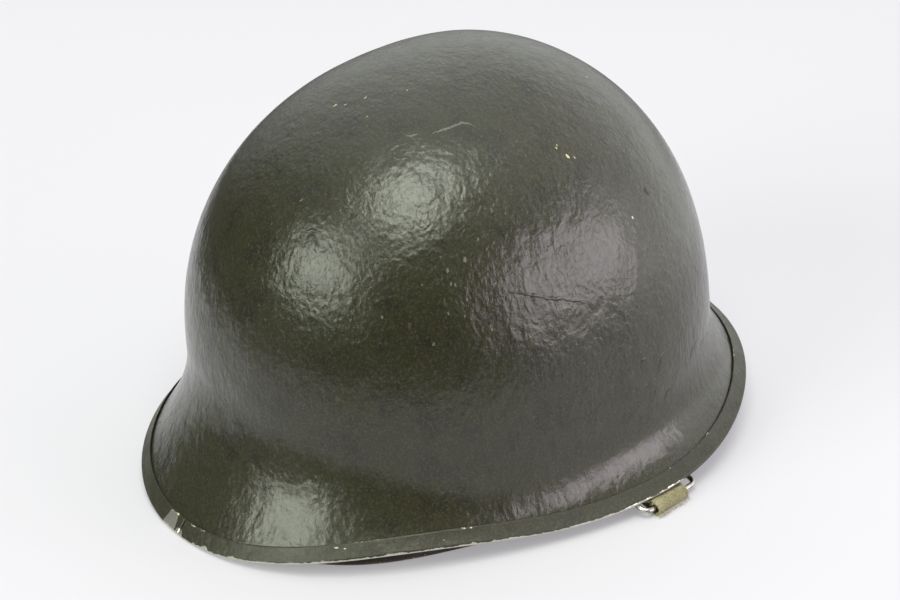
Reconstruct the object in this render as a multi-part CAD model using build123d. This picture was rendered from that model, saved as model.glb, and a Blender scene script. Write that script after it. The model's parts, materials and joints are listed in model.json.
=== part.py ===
from build123d import *

import os
from math import atan2, cos, degrees, hypot, pi, radians, sin, tan

# Steel pot
steel_wall = 1.1
crown_height = 178.0
half_width = 105.0
front_reach = 127.5
rear_reach = 106.5
crown_forward = 2.7
waist_height = 57.0
visor_flare = 30.0
rear_rim_height = 21.0
plan_power = 2.2
dome_power = 2.2

# Shares and slopes at even angles from front centre round to back centre
waist_height_shares = (1.0, 0.81, 0.65, 0.88, 1.12)
flare_shares = (1.0, 0.80, 0.45, 0.36, 0.48, 0.53, 0.50, 0.53, 0.55)
rim_height_shares = (0.067, 0.345, 0.576, 0.41, 0.385, 0.57, 0.857, 1.01, 1.0)
rim_slopes = (50.0, 45.0, 36.0, 31.0, 30.0)

# Rim edging, a folded strip that butts at the front centre
edging_width = 6.6
edging_wall = 0.5
edging_clearance = 0.05
edging_seam_gap = 0.6

# Chin-strap loops and the brackets that hold them
loop_angle = 98.5
loop_wire = 2.4
loop_width = 24.0
loop_corner_radius = 3.2
loop_pivot_inset = 9.0
loop_pivot_rise = 1.6
loop_bar_inset = 3.0
bracket_wall = 0.8
bracket_width = 13.0
bracket_reach = 6.5
bracket_running_clearance = 0.05
weld_depth = 0.25

# Web chin straps
web_thickness = 1.2
chin_web_width = 19.0
roll_length = 10.0
roll_slack = 1.6
wire_to_web_gap = 0.1
floor_gap = 0.1
node_gap = 0.3
left_strap_length = 82.0
right_strap_length = 168.0
strap_turn_radius = 120.0
strap_lead = 34.0
strap_doubled_length = 20.0

# Chin-strap hook, buckle and tip
hook_width = 26.5
hook_length = 17.0
hook_wall = 1.6
hook_bar = 3.2
hook_roll_length = 8.0
claw_width = 9.0
buckle_width = 26.0
buckle_length = 17.0
buckle_wall = 1.2
buckle_bar = 3.4
buckle_place = 118.0
strap_climb_place = 80.0
strap_climb_length = 14.0
tip_length = 9.0
tip_wall = 0.5
tip_clearance = 0.1

# Liner
liner_wall = 2.4
liner_clearance = 0.8
liner_drop = 5.0
liner_waist_height = 48.0
liner_flare = 22.0
liner_rear_height = 17.0
liner_waist_shares = (1.0, 0.81, 0.65, 0.88, 1.12)
liner_flare_shares = (1.0, 0.88, 0.24, 0.04, 0.12, 0.14, 0.14, 0.14, 0.14)
liner_rim_shares = (0.36, 0.23, 0.13, 0.12, 0.25, 0.50, 0.78, 0.97, 1.0)
liner_slopes = (46.0, 46.0, 60.0, 60.0, 60.0)

# Eyelet in the liner's front
eyelet_height = 88.0
eyelet_bore_radius = 2.4
eyelet_wall = 0.5
eyelet_flange_radius = 4.6
eyelet_flange = 0.4
eyelet_fit = 0.02

# Head band web and sweatband, round the head
band_side_space = 12.7
band_end_space = 6.7
band_height = 62.0
band_tilt = 4.0
head_web_width = 19.0
head_web_thickness = 1.3
sweatband_width = 32.0
sweatband_thickness = 1.6
sweatband_gap = 1.6
clip_width = 11.0
clip_depth = 13.0
clip_wall = 0.5
clip_clearance = 0.35
runner_length = 13.0
runner_wall = 0.5
runner_clearance = 0.5

# Crown straps and what fixes them to the liner
crown_strap_width = 19.0
crown_strap_thickness = 1.3
crown_strap_space = 26.5
strap_layer_gap = 0.2
anchor_height = 84.0
anchor_angles = (30.0, 90.0, 150.0, 210.0, 270.0, 330.0)
clip_angles = (0.0, 60.0, 120.0, 167.0, 193.0, 240.0, 300.0)
washer_wall = 0.9
washer_top_width = 12.0
washer_foot_width = 27.0
washer_tab = 11.0
washer_slot = 3.4
washer_slot_rim = 2.6
seat_gap = 0.3
tab_seat = 0.75
rivet_radius = 1.6
rivet_fit = 0.04
rivet_head_radius = 4.4
rivet_head = 0.45
rivet_button = 1.3

# Nape strap
nape_angles = (132.0, 180.0, 228.0)
nape_height = 36.0
nape_width = 24.0
nape_thickness = 2.2
nape_standoff = 12.0
nape_end_angle = 56.0
nape_washer_rise = 21.0
nape_washer_width = 13.0
snap_radius = 5.0
snap_height = 1.6

# Studs for a leather strap on the liner's sides
stud_angles = (80.0, -80.0)
stud_height = 34.0
stud_radius = 4.8
stud_neck_radius = 2.0
stud_neck = 2.2
stud_cap = 1.4

# How finely the curved surfaces are drawn
ring_points = 40
bowl_stations = (0.08, 0.18, 0.30, 0.44, 0.58, 0.72, 0.86, 1.0, 1.14, 1.28, 1.42, 1.56, 1.70, 1.85, 2.0)
edging_sections = 54
nudge = 1e-4


def along_side(stations, angle):
    """Smooth curve through even stations, the same on both sides of the helmet."""
    last = len(stations) - 1
    total = 0.0
    for wave in range(last + 1):
        weight = sum(
            (0.5 if i in (0, last) else 1.0) * value * cos(pi * i * wave / last)
            for i, value in enumerate(stations)
        )
        total += weight * cos(wave * angle) * (1.0 if wave in (0, last) else 2.0) / last
    return total


def at(angle, radius, height):
    """A place from its angle in radians, counted from the front towards the wearer's left."""
    return Vector(radius * sin(angle), -radius * cos(angle), height)


def tangent(angle):
    return Vector(cos(angle), sin(angle), 0)


def side_plane(angle):
    """Upright plane through the axis, with x outwards and y up."""
    return Plane(origin=(0, 0, 0), x_dir=at(angle, 1, 0), z_dir=-tangent(angle))


class Bowl:
    """A helmet bowl: a dome from the crown to the waist, then a flare from the waist to the rim."""

    def __init__(self, crown, side, front, rear, waists, flares, rims, slopes):
        self.crown = crown
        self.side = side
        self.front = front
        self.rear = rear
        self.waists = waists
        self.flares = flares
        self.rims = rims
        self.slopes = slopes

    def profile(self, angle, station):
        """Radius, height and share of the rise: station 0 is the crown, 1 the waist and 2 the rim."""
        reach = self.front if cos(angle) > 0 else self.rear
        plan = (abs(cos(angle)) / reach) ** plan_power + (abs(sin(angle)) / self.side) ** plan_power
        waist = plan ** (-1 / plan_power)
        waist_at = along_side(self.waists, angle)
        if station <= 1:
            turn = station * pi / 2
            rise = max(cos(turn), 0) ** (2 / dome_power)
            radius = waist * sin(turn) ** (2 / dome_power)
            return radius, waist_at + (self.crown - waist_at) * rise, rise
        down = station - 1
        flare = along_side(self.flares, angle)
        rim_at = along_side(self.rims, angle)
        pull_at = rim_at + flare * tan(radians(along_side(self.slopes, angle)))
        height = (1 - down) ** 2 * waist_at + 2 * down * (1 - down) * pull_at + down**2 * rim_at
        return waist + down**2 * flare, height, 0.0

    def heading(self, angle, station):
        """Unit direction down the wall, as radius and height."""
        before = self.profile(angle, max(station - nudge, 0))
        after = self.profile(angle, station + nudge)
        out, up = after[0] - before[0], after[1] - before[1]
        return out / hypot(out, up), up / hypot(out, up)

    def flat_point(self, angle, station, depth=0.0, beyond=0.0):
        """Radius and height of a place under the outer face, and past it down the wall."""
        radius, height, rise = self.profile(angle, station)
        out, up = self.heading(angle, station)
        return radius + depth * up + beyond * out, height - depth * out + beyond * up

    def point(self, angle, station, depth=0.0, beyond=0.0):
        if station == 0:
            return Vector(0, -crown_forward, self.crown - depth)
        radius, height = self.flat_point(angle, station, depth, beyond)
        forward = crown_forward * self.profile(angle, station)[2]
        return at(angle, radius, height) - Vector(0, forward, 0)

    def outward(self, angle, station):
        """Unit direction straight out of the wall."""
        down = self.point(angle, station + nudge) - self.point(angle, station - nudge)
        around = self.point(angle + nudge, station) - self.point(angle - nudge, station)
        return down.cross(around).normalized()

    def sideways(self, angle, station):
        """Level direction along the wall."""
        return Vector(0, 0, 1).cross(self.outward(angle, station)).normalized()

    def station_at(self, angle, height):
        """The station whose outer face has this height."""
        low, high = 0.0, 2.0
        while high - low > nudge / 100:
            middle = (low + high) / 2
            if self.profile(angle, middle)[1] > height:
                low = middle
            else:
                high = middle
        return low

    def ring(self, station, depth):
        turns = [2 * pi * i / ring_points + pi for i in range(ring_points)]
        return Wire([Edge.make_spline([self.point(turn, station, depth) for turn in turns], periodic=True)])

    def skin(self, depth):
        rings = [self.ring(station, depth) for station in bowl_stations]
        return Shell.make_loft([Vertex(*self.point(0, 0, depth)), *rings])

    def solid(self, wall):
        edge = Shell.make_loft([self.ring(2.0, 0), self.ring(2.0, wall)], ruled=True)
        return Solid(Shell(self.skin(0).faces() + self.skin(wall).faces() + edge.faces()))


def scaled(size, shares):
    return [size * share for share in shares]


# The liner nests in the pot, and the head band stands off the liner's wall
nesting = steel_wall + liner_clearance
liner_crown = crown_height - steel_wall - liner_drop
band_centre = (front_reach - rear_reach) / 2
band_half_width = half_width - nesting - liner_wall - band_side_space
band_half_length = (front_reach + rear_reach) / 2 - nesting - liner_wall - band_end_space
crown_strap_height = liner_crown - liner_wall - crown_strap_space


def strip(stations, ruled=False):
    """A flat strip through stations of (centre, half width across, half thickness through)."""
    sections = []
    for centre, across, through in stations:
        corners = [
            centre - across - through,
            centre + across - through,
            centre + across + through,
            centre - across + through,
        ]
        sections.append(Wire.make_polygon(corners, close=True))
    return Solid.make_loft(sections, ruled=ruled)


def round_band(half_width, half_length, thickness, width):
    """A band round the head, with its outer face on the given oval."""
    slope = band_tilt / band_half_length

    def oval(inset):
        places = [2 * pi * i / ring_points for i in range(ring_points)]
        points = [
            Vector(
                (half_width - inset) * sin(turn),
                -band_centre - (half_length - inset) * cos(turn),
                band_height - slope * (half_length - inset) * cos(turn) - width / 2,
            )
            for turn in places
        ]
        return Wire([Edge.make_spline(points, periodic=True)])

    return Solid.extrude(Face(oval(0), [oval(thickness)]), Vector(0, 0, width))


def band_place(turn, outset, height=0.0):
    """A place outside the head web's outer face, by its turn about the head's centre."""
    return Vector(
        (band_half_width + outset) * sin(turn),
        -band_centre - (band_half_length + outset) * cos(turn),
        band_height - band_tilt * cos(turn) + height,
    )


def band_outward(turn):
    return Vector(sin(turn) / band_half_width, -cos(turn) / band_half_length, 0).normalized()


def band_along(turn):
    out = band_outward(turn)
    return Vector(-out.Y, out.X, 0)


def bearing(place):
    """Angle of a place about the helmet's axis."""
    return atan2(place.X, -place.Y)


def disc(plane, radius, start, height):
    return extrude(plane.offset(start) * Circle(radius), height)


steel = Bowl(
    crown_height,
    half_width,
    front_reach,
    rear_reach,
    scaled(waist_height, waist_height_shares),
    scaled(visor_flare, flare_shares),
    scaled(rear_rim_height, rim_height_shares),
    rim_slopes,
)

liner = Bowl(
    liner_crown,
    half_width - nesting,
    front_reach - nesting,
    rear_reach - nesting,
    scaled(liner_waist_height, liner_waist_shares),
    scaled(liner_flare, liner_flare_shares),
    scaled(liner_rear_height, liner_rim_shares),
    liner_slopes,
)


def edging_station(angle, width):
    """The station on the flare that lies this far above the rim."""
    station = 2.0
    for _ in range(3):
        step = Vector(*steel.flat_point(angle, station), 0) - Vector(*steel.flat_point(angle, 2.0), 0)
        slope = Vector(*steel.flat_point(angle, 2.0), 0) - Vector(*steel.flat_point(angle, 2.0 - nudge), 0)
        station -= (width - step.length) / (slope.length / nudge)
    return station


def edging_section(angle):
    """The folded strip's outline at one angle, round the rim with a leg on each face."""
    top = edging_station(angle, edging_width)
    middle = (top + 2.0) / 2
    outside = -edging_clearance - edging_wall
    inside = steel_wall + edging_clearance + edging_wall
    nose = (inside - outside) / 2

    def leg(depth, beyond=0.0):
        return [
            steel.point(angle, top, depth),
            steel.point(angle, middle, depth),
            steel.point(angle, 2.0, depth, beyond),
        ]

    over = leg(outside)
    over_face = leg(-edging_clearance, edging_clearance)
    under_face = leg(steel_wall + edging_clearance, edging_clearance)
    under = leg(inside)
    tip = steel.point(angle, 2.0, steel_wall / 2, nose)
    quarter = nose * sin(pi / 4)
    over_nose = steel.point(angle, 2.0, steel_wall / 2 - quarter, quarter)
    under_nose = steel.point(angle, 2.0, steel_wall / 2 + quarter, quarter)
    return Wire(
        [
            Edge.make_three_point_arc(*over),
            Edge.make_three_point_arc(over[2], over_nose, tip),
            Edge.make_three_point_arc(tip, under_nose, under[2]),
            Edge.make_three_point_arc(under[2], under[1], under[0]),
            Edge.make_line(under[0], under_face[0]),
            Edge.make_three_point_arc(*under_face),
            Edge.make_line(under_face[2], over_face[2]),
            Edge.make_three_point_arc(over_face[2], over_face[1], over_face[0]),
            Edge.make_line(over_face[0], over[0]),
        ]
    )


def rim_edging():
    gap = edging_seam_gap / (front_reach + visor_flare) / 2
    turns = [gap + (2 * pi - 2 * gap) * i / edging_sections for i in range(edging_sections + 1)]
    return Solid.make_loft([edging_section(turn) for turn in turns])


# The chin-strap loop hangs from its pivot inside the rim, out and down to its bar
loop_turn = radians(loop_angle)
loop_radius = loop_wire / 2
loop_plane = side_plane(loop_turn)
rim_radius, rim_at = steel.flat_point(loop_turn, 2.0)
pivot_radius = rim_radius - loop_pivot_inset
pivot_at = rim_at + loop_pivot_rise
bar_radius = rim_radius - loop_bar_inset
bar_at = floor_gap + web_thickness + roll_slack + loop_radius
loop_length = hypot(bar_radius - pivot_radius, pivot_at - bar_at)
roll_height = roll_slack + loop_wire + wire_to_web_gap + 2 * web_thickness
roll_middle = floor_gap + roll_height / 2


def loop_frame():
    """Plane of the wire loop, with x from the pivot to the bar and y along the bar."""
    pivot = at(loop_turn, pivot_radius, pivot_at)
    bar = at(loop_turn, bar_radius, bar_at)
    return Plane(origin=pivot, x_dir=bar - pivot, z_dir=(bar - pivot).cross(tangent(loop_turn)))


def wire_loop():
    frame = loop_frame()
    span = frame * Pos(loop_length / 2, 0) * RectangleRounded(loop_length, loop_width, loop_corner_radius)
    path = span.face().outer_wire()
    start = path @ 0
    section = Plane(origin=start, z_dir=path % 0) * Circle(loop_radius)
    return sweep(section, path=path)


def loop_bracket():
    """A sheet clip round the loop's pivot bar, welded up under the flare."""
    eye = loop_radius + bracket_running_clearance
    wrap = eye + bracket_wall
    inner_station = edging_station(loop_turn, loop_pivot_inset + bracket_reach / 2)
    out, up = steel.heading(loop_turn, inner_station)
    weld_radius, weld_at = steel.flat_point(loop_turn, inner_station, steel_wall - weld_depth + bracket_wall / 2)
    plate = Plane(origin=(weld_radius, weld_at, 0), x_dir=(out, up, 0)) * Rectangle(bracket_reach, bracket_wall)
    web_length = hypot(weld_radius - pivot_radius, weld_at - pivot_at)
    web = (
        Plane(
            origin=((weld_radius + pivot_radius) / 2, (weld_at + pivot_at) / 2, 0),
            x_dir=(weld_radius - pivot_radius, weld_at - pivot_at, 0),
        )
        * Rectangle(web_length, bracket_wall)
    )
    outline = plate + web + Pos(pivot_radius, pivot_at) * Circle(wrap) - Pos(pivot_radius, pivot_at) * Circle(eye)
    return extrude(loop_plane * outline, bracket_width / 2, both=True)


def web_roll(plane, length, height):
    """The end of a web sewn into a loop round a bar."""
    outer = SlotOverall(length, height)
    hole = SlotOverall(length - 2 * web_thickness, height - 2 * web_thickness)
    return extrude(plane * (outer - hole), chin_web_width / 2, both=True)


def strap_roll():
    """The roll of web on the wire loop's bar, which stands on the floor."""
    return web_roll(loop_plane * Pos(bar_radius, roll_middle), roll_length, roll_height)


def floor_path(length, side, turn_share):
    """Centre line of a strap on the floor: straight in from its roll, then a long bend."""
    start = at(loop_turn, bar_radius - roll_length / 2 - node_gap, 0)
    heading = -at(loop_turn, 1, 0)
    lead = Edge.make_line(start, start + heading * strap_lead)
    bend = (length - strap_lead) / strap_turn_radius * turn_share
    centre = start + heading * strap_lead + heading.rotate(Axis.Z, 90 * side) * strap_turn_radius
    first = start + heading * strap_lead - centre
    arc = Edge.make_three_point_arc(
        centre + first,
        centre + first.rotate(Axis.Z, degrees(bend) * side / 2),
        centre + first.rotate(Axis.Z, degrees(bend) * side),
    )
    end = centre + first.rotate(Axis.Z, degrees(bend) * side)
    out = heading.rotate(Axis.Z, degrees(bend) * side)
    tail = Edge.make_line(end, end + out * (length - strap_lead) * (1 - turn_share))
    return Wire([lead, arc, tail])


def level(place):
    return floor_gap


def climbing(place):
    """Underside of the strap that climbs from the floor onto its buckle's back bars."""
    share = min(max((place - strap_climb_place) / strap_climb_length, 0), 1)
    return floor_gap + strap_lift * share**2 * (3 - 2 * share)


def flat_web(path, start, end, underside, thickness):
    """A piece of web on its path between two lengths."""
    steps = 24
    stations = []
    for i in range(steps + 1):
        place = start + (end - start) * i / steps
        share = place / path.length
        across = (path % share).cross(Vector(0, 0, 1)) * (chin_web_width / 2)
        middle = path @ share + Vector(0, 0, underside(place) + thickness / 2)
        stations.append((middle, across, Vector(0, 0, thickness / 2)))
    return strip(stations)


def chin_strap(path, length, underside):
    """Web on the floor, doubled where its end is sewn back on itself beside the roll."""
    doubled = flat_web(path, 0, strap_doubled_length, underside, 2 * web_thickness)
    single = flat_web(path, strap_doubled_length, length, underside, web_thickness)
    return doubled.fuse(single)


def on_path(path, place, height):
    """Plane on the strap, with x along it and z up."""
    share = place / path.length
    return Plane(origin=path @ share + Vector(0, 0, height), x_dir=path % share, z_dir=(0, 0, 1))


strap_lift = buckle_wall + node_gap
hook_roll_height = hook_wall + 2 * wire_to_web_gap + 2 * web_thickness


def hook_frame(path, length):
    return on_path(path, length - hook_roll_length / 2, floor_gap + hook_roll_height / 2)


def left_strap(path, length):
    """The short strap, with its far end rolled round the hook's bar."""
    frame = hook_frame(path, length)
    upright = Plane(origin=frame.origin, x_dir=frame.x_dir, z_dir=-frame.y_dir)
    roll = web_roll(upright, hook_roll_length, hook_roll_height)
    return chin_strap(path, length - hook_roll_length / 2, level).fuse(roll)


def strap_hook(path, length):
    """Cast hook: a plate with a window for the web and a claw that turns back over its front bar."""
    reach = hook_length - hook_bar
    plate = Pos(reach / 2, 0) * Rectangle(reach + hook_bar, hook_width)
    window = Pos(reach / 2 - hook_bar / 2, 0) * Rectangle(reach - 2 * hook_bar, hook_width - 2 * hook_bar)
    body = extrude(plate - window, hook_wall / 2, both=True)
    rise = 2 * hook_wall
    stem = Pos(reach, 0, rise / 2) * Box(hook_wall, claw_width, rise + hook_wall)
    claw = Pos(reach - hook_bar / 2, 0, rise) * Box(hook_bar + hook_wall, claw_width, hook_wall)
    return hook_frame(path, length) * (body + stem + claw)


def strap_buckle(path):
    """Cast sliding buckle: a frame in front of and behind the web, with a raised bar that grips it."""
    way = web_thickness + 2 * node_gap
    height = way + 2 * buckle_wall
    window_length = buckle_length - 2 * buckle_bar
    window_width = chin_web_width + 2 * node_gap
    body = Box(buckle_length, buckle_width, height)
    body -= Box(2 * buckle_length, window_width, way)
    body -= Box(window_length, window_width, 2 * height)
    bar = Pos(0, 0, height / 2 + buckle_bar / 4) * Rot(X=90) * Cylinder(buckle_bar / 2, buckle_width)
    bar -= Box(buckle_length, 2 * buckle_width, way)
    middle = climbing(buckle_place) + web_thickness / 2
    return on_path(path, buckle_place, middle) * (body + bar)


def strap_tip(path, length):
    """Metal tip folded round the end of the web."""
    pocket = Box(tip_length, chin_web_width + 2 * tip_clearance, web_thickness + 2 * tip_clearance)
    fold = tip_clearance + tip_wall
    outer = Box(tip_length, chin_web_width + 2 * fold, web_thickness + 2 * fold)
    middle = climbing(length) + web_thickness / 2
    return on_path(path, length - tip_length / 2 + fold, middle) * (outer - Pos(-tip_wall, 0, 0) * pocket)


# Liner fixings
def wall_plane(angle, station, depth=0.0):
    """Plane on the liner's wall with z outwards."""
    return Plane(
        origin=liner.point(angle, station, depth),
        x_dir=liner.sideways(angle, station),
        z_dir=liner.outward(angle, station),
    )


def rivet(angle, height, grip):
    """Rivet through the liner: a flat head outside and a button head inside past the grip."""
    plane = wall_plane(angle, liner.station_at(angle, height))
    inside = liner_wall + grip
    head = disc(plane, rivet_head_radius, 0, rivet_head)
    shank = disc(plane, rivet_radius, -inside, inside)
    button = disc(plane, rivet_head_radius * 0.8, -inside - rivet_button, rivet_button)
    return head + shank + button


def rivet_hole(angle, height, radius=rivet_radius):
    plane = wall_plane(angle, liner.station_at(angle, height))
    return disc(plane, radius + rivet_fit, -2 * liner_wall, 3 * liner_wall)


tab_grip = tab_seat + washer_wall
tab_depth = liner_wall + tab_seat + washer_wall / 2
foot_outset = seat_gap + crown_strap_thickness + seat_gap + washer_wall / 2


def anchor_bearing(turn):
    return bearing(band_place(turn, 0))


def anchor_at(turn):
    return anchor_height - band_tilt * cos(turn)


def strap_washer(turn):
    """Triangular washer: a riveted tab on the wall, then a plate down and in to the head web."""
    angle = anchor_bearing(turn)
    foot = band_place(turn, foot_outset, -head_web_width / 2 + washer_slot_rim)
    tab_top = liner.station_at(angle, anchor_at(turn) + washer_tab / 2)
    tab_low = liner.station_at(angle, anchor_at(turn) - washer_tab / 2)
    top = liner.point(angle, tab_top, tab_depth)
    knee = liner.point(angle, tab_low, tab_depth)
    side = liner.sideways(angle, tab_low)
    through = liner.outward(angle, tab_low) * (washer_wall / 2)
    knee_width = washer_top_width + (washer_foot_width - washer_top_width) / 3
    foot_side = band_along(turn)
    foot_through = foot_side.cross((foot - knee).normalized()) * (washer_wall / 2)
    if foot_through.dot(through) < 0:
        foot_through = -foot_through
    knee_through = (through + foot_through).normalized() * (washer_wall / 2)
    plate = strip(
        [
            (top, side * (washer_top_width / 2), through),
            (knee, side * (knee_width / 2), knee_through),
            (foot, foot_side * (washer_foot_width / 2), foot_through),
        ],
        ruled=True,
    )
    slot_centre = foot + (knee - foot).normalized() * (washer_slot_rim + washer_slot / 2)
    slot_plane = Plane(origin=slot_centre, x_dir=foot_side, z_dir=foot_through)
    slot = slot_plane * Box(crown_strap_width + 2 * seat_gap, washer_slot, 6 * washer_wall)
    hole = rivet_hole(angle, anchor_at(turn))
    return plate - slot - hole


def crown_strap(turn, layer):
    """Web from one side of the head web up over the crown and down to the other side."""
    height = crown_strap_height + layer * (crown_strap_thickness + strap_layer_gap)
    across = band_along(turn) * (crown_strap_width / 2)
    outset = seat_gap + crown_strap_thickness / 2
    shares = ((1.0, 0.0), (1.004, 0.10), (1.0, 0.22), (0.93, 0.52), (0.76, 0.77), (0.5, 0.93), (0.22, 0.99))
    centre = Vector(0, -band_centre, 0)
    side_points = []
    for way in (turn, turn + pi):
        low = band_place(way, outset, -head_web_width / 2 + washer_slot_rim)
        points = []
        for out_share, up_share in shares:
            plan = centre + (Vector(low.X, low.Y, 0) - centre) * out_share
            points.append(Vector(plan.X, plan.Y, low.Z + (height - low.Z) * up_share))
        side_points.append(points)
    line = side_points[0] + [centre + Vector(0, 0, height)] + side_points[1][::-1]
    path = Edge.make_spline(line)
    stations = []
    steps = 40
    for i in range(steps + 1):
        share = i / steps
        through = (path % share).cross(across).normalized() * (crown_strap_thickness / 2)
        stations.append((path @ share, across, through))
    return strip(stations)


def sweatband_clip(turn):
    """Spring clip folded over the head web's top edge, with one leg each side of it."""
    origin = band_place(turn, 0, head_web_width / 2)
    plane = Plane(origin=origin, x_dir=band_outward(turn), z_dir=-band_along(turn))
    inside = -head_web_thickness - clip_clearance
    width = head_web_thickness + 2 * clip_clearance + 2 * clip_wall
    middle = (inside - clip_wall) + width / 2
    outer = Pos(middle, clip_clearance + clip_wall - clip_depth / 2) * Rectangle(width, clip_depth)
    slot = Pos(middle, clip_clearance - clip_depth / 2) * Rectangle(width - 2 * clip_wall, clip_depth)
    return extrude(plane * (outer - slot), clip_width / 2, both=True)


sweat_half_width = band_half_width - head_web_thickness - sweatband_gap
sweat_half_length = band_half_length - head_web_thickness - sweatband_gap


def sweatband_runner():
    """Metal runner round the sweatband at the back, which holds the band to size."""
    face = Vector(0, -band_centre + sweat_half_length, band_height + band_tilt)
    depth = sweatband_thickness + 2 * runner_clearance
    height = sweatband_width + 2 * runner_clearance
    centre = face - Vector(0, sweatband_thickness / 2 + runner_clearance / 4, 0)
    outer = Box(runner_length, depth + 2 * runner_wall, height + 2 * runner_wall)
    inner = Box(2 * runner_length, depth, height)
    return Pos(*centre) * (outer - inner)


def nape_place(share, height):
    """A place on the nape strap: share -1 and 1 are its ends and 0 its middle."""
    angle = pi + share * radians(nape_end_angle)
    station = liner.station_at(angle, height)
    stand = nape_standoff * cos(share * pi / 2)
    return angle, liner.point(angle, station, liner_wall + seat_gap + nape_thickness / 2 + stand)


def nape_strap():
    stations = []
    steps = 24
    for i in range(steps + 1):
        share = 2 * i / steps - 1
        angle, low = nape_place(share, nape_height - nape_width / 2)
        angle, high = nape_place(share, nape_height + nape_width / 2)
        outward = (high - low).cross(tangent(angle)).normalized() * (nape_thickness / 2)
        stations.append(((low + high) / 2, (high - low).normalized() * (nape_width / 2), outward))
    return strip(stations)


def nape_share(angle):
    return (radians(angle) - pi) / radians(nape_end_angle)


def nape_washer(angle):
    """Narrow plate from a rivet on the wall down to the nape strap's outer face."""
    turn = radians(angle)
    knee_at = nape_height + nape_washer_rise - washer_tab / 2
    top = liner.point(turn, liner.station_at(turn, knee_at + washer_tab), tab_depth)
    knee = liner.point(turn, liner.station_at(turn, knee_at), tab_depth)
    _, place = nape_place(nape_share(angle), nape_height + nape_width / 2 - washer_slot_rim)
    foot = place + at(turn, nape_thickness / 2 + tab_seat + washer_wall / 2, 0)
    across = tangent(turn) * (nape_washer_width / 2)
    through = at(turn, washer_wall / 2, 0)
    plate = strip([(top, across, through), (knee, across, through), (foot, across, through)], ruled=True)
    return plate - rivet_hole(turn, knee_at + washer_tab / 2)


def nape_snap(angle):
    """Snap button on the nape strap's inner face, below its washer."""
    turn = radians(angle)
    _, place = nape_place(nape_share(angle), nape_height)
    face = place - at(turn, nape_thickness / 2, 0)
    plane = Plane(origin=face, z_dir=at(turn, -1, 0))
    return disc(plane, snap_radius, 0, snap_height)


def stud(angle):
    """Stud through the liner's side, with a neck and cap inside for a strap's keyhole."""
    turn = radians(angle)
    plane = wall_plane(turn, liner.station_at(turn, stud_height))
    inside = liner_wall + stud_neck
    head = disc(plane, rivet_head_radius, -rivet_head / 2, rivet_head)
    neck = disc(plane, stud_neck_radius, -inside, inside)
    cap = disc(plane, stud_radius, -inside - stud_cap, stud_cap)
    return head + neck + cap


def eyelet_plane():
    return wall_plane(0, liner.station_at(0, eyelet_height))


def eyelet():
    plane = eyelet_plane()
    tube_radius = eyelet_bore_radius + eyelet_wall
    reach = liner_wall + 2 * eyelet_flange
    body = disc(plane, tube_radius, -liner_wall - eyelet_flange, reach)
    flanges = disc(plane, eyelet_flange_radius, 0, eyelet_flange)
    flanges += disc(plane, eyelet_flange_radius, -liner_wall - eyelet_flange, eyelet_flange)
    bore = disc(plane, eyelet_bore_radius, -2 * liner_wall, 4 * liner_wall)
    return body + flanges - bore


def liner_shell():
    shell = liner.solid(liner_wall)
    shell -= disc(eyelet_plane(), eyelet_bore_radius + eyelet_wall + eyelet_fit, -2 * liner_wall, 4 * liner_wall)
    for angle in anchor_angles:
        shell -= rivet_hole(anchor_bearing(radians(angle)), anchor_at(radians(angle)))
    for angle in nape_angles:
        shell -= rivet_hole(radians(angle), nape_height + nape_washer_rise)
    for angle in stud_angles:
        shell -= rivet_hole(radians(angle), stud_height, stud_neck_radius)
    return shell


def mirrored(shape):
    return shape.mirror(Plane.YZ)


left_path = floor_path(left_strap_length, 1, 0.5)
right_path = floor_path(right_strap_length, 1, 0.25)

pieces = {
    "steel_shell": steel.solid(steel_wall),
    "rim_edging": rim_edging(),
    "left_loop_bracket": loop_bracket(),
    "right_loop_bracket": mirrored(loop_bracket()),
    "left_wire_loop": wire_loop(),
    "right_wire_loop": mirrored(wire_loop()),
    "left_strap_roll": strap_roll(),
    "right_strap_roll": mirrored(strap_roll()),
    "left_chin_strap": left_strap(left_path, left_strap_length),
    "right_chin_strap": mirrored(chin_strap(right_path, right_strap_length, climbing)),
    "left_strap_hook": strap_hook(left_path, left_strap_length),
    "right_strap_buckle": mirrored(strap_buckle(right_path)),
    "right_strap_tip": mirrored(strap_tip(right_path, right_strap_length)),
    "liner_shell": liner_shell(),
    "front_eyelet": eyelet(),
    "head_web": round_band(band_half_width, band_half_length, head_web_thickness, head_web_width),
    "sweatband": round_band(sweat_half_width, sweat_half_length, sweatband_thickness, sweatband_width),
    "sweatband_clips": Compound([sweatband_clip(radians(angle)) for angle in clip_angles]),
    "sweatband_runner": sweatband_runner(),
    "crown_strap_across": crown_strap(radians(90), 0),
    "crown_strap_left_front": crown_strap(radians(30), 1),
    "crown_strap_right_front": crown_strap(radians(330), 2),
    "strap_washers": Compound([strap_washer(radians(angle)) for angle in anchor_angles]),
    "strap_rivets": Compound(
        [rivet(anchor_bearing(radians(angle)), anchor_at(radians(angle)), tab_grip) for angle in anchor_angles]
    ),
    "nape_strap": nape_strap(),
    "nape_washers": Compound([nape_washer(angle) for angle in nape_angles]),
    "nape_rivets": Compound([rivet(radians(angle), nape_height + nape_washer_rise, tab_grip) for angle in nape_angles]),
    "nape_snaps": Compound([nape_snap(angle) for angle in nape_angles]),
    "liner_studs": Compound([stud(angle) for angle in stud_angles]),
}

# The helmet stands on the floor with the middle of its length over the origin
whole = Compound([*pieces.values()]).bounding_box()
shift = Vector(0, -(whole.min.Y + whole.max.Y) / 2, -whole.min.Z)

os.makedirs("parts", exist_ok=True)
for name, piece in pieces.items():
    export_step(Pos(*shift) * piece, f"parts/{name}.step")


def told(name, *vectors):
    print(name, *[tuple(round(number, 4) for number in vector) for vector in vectors])


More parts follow.
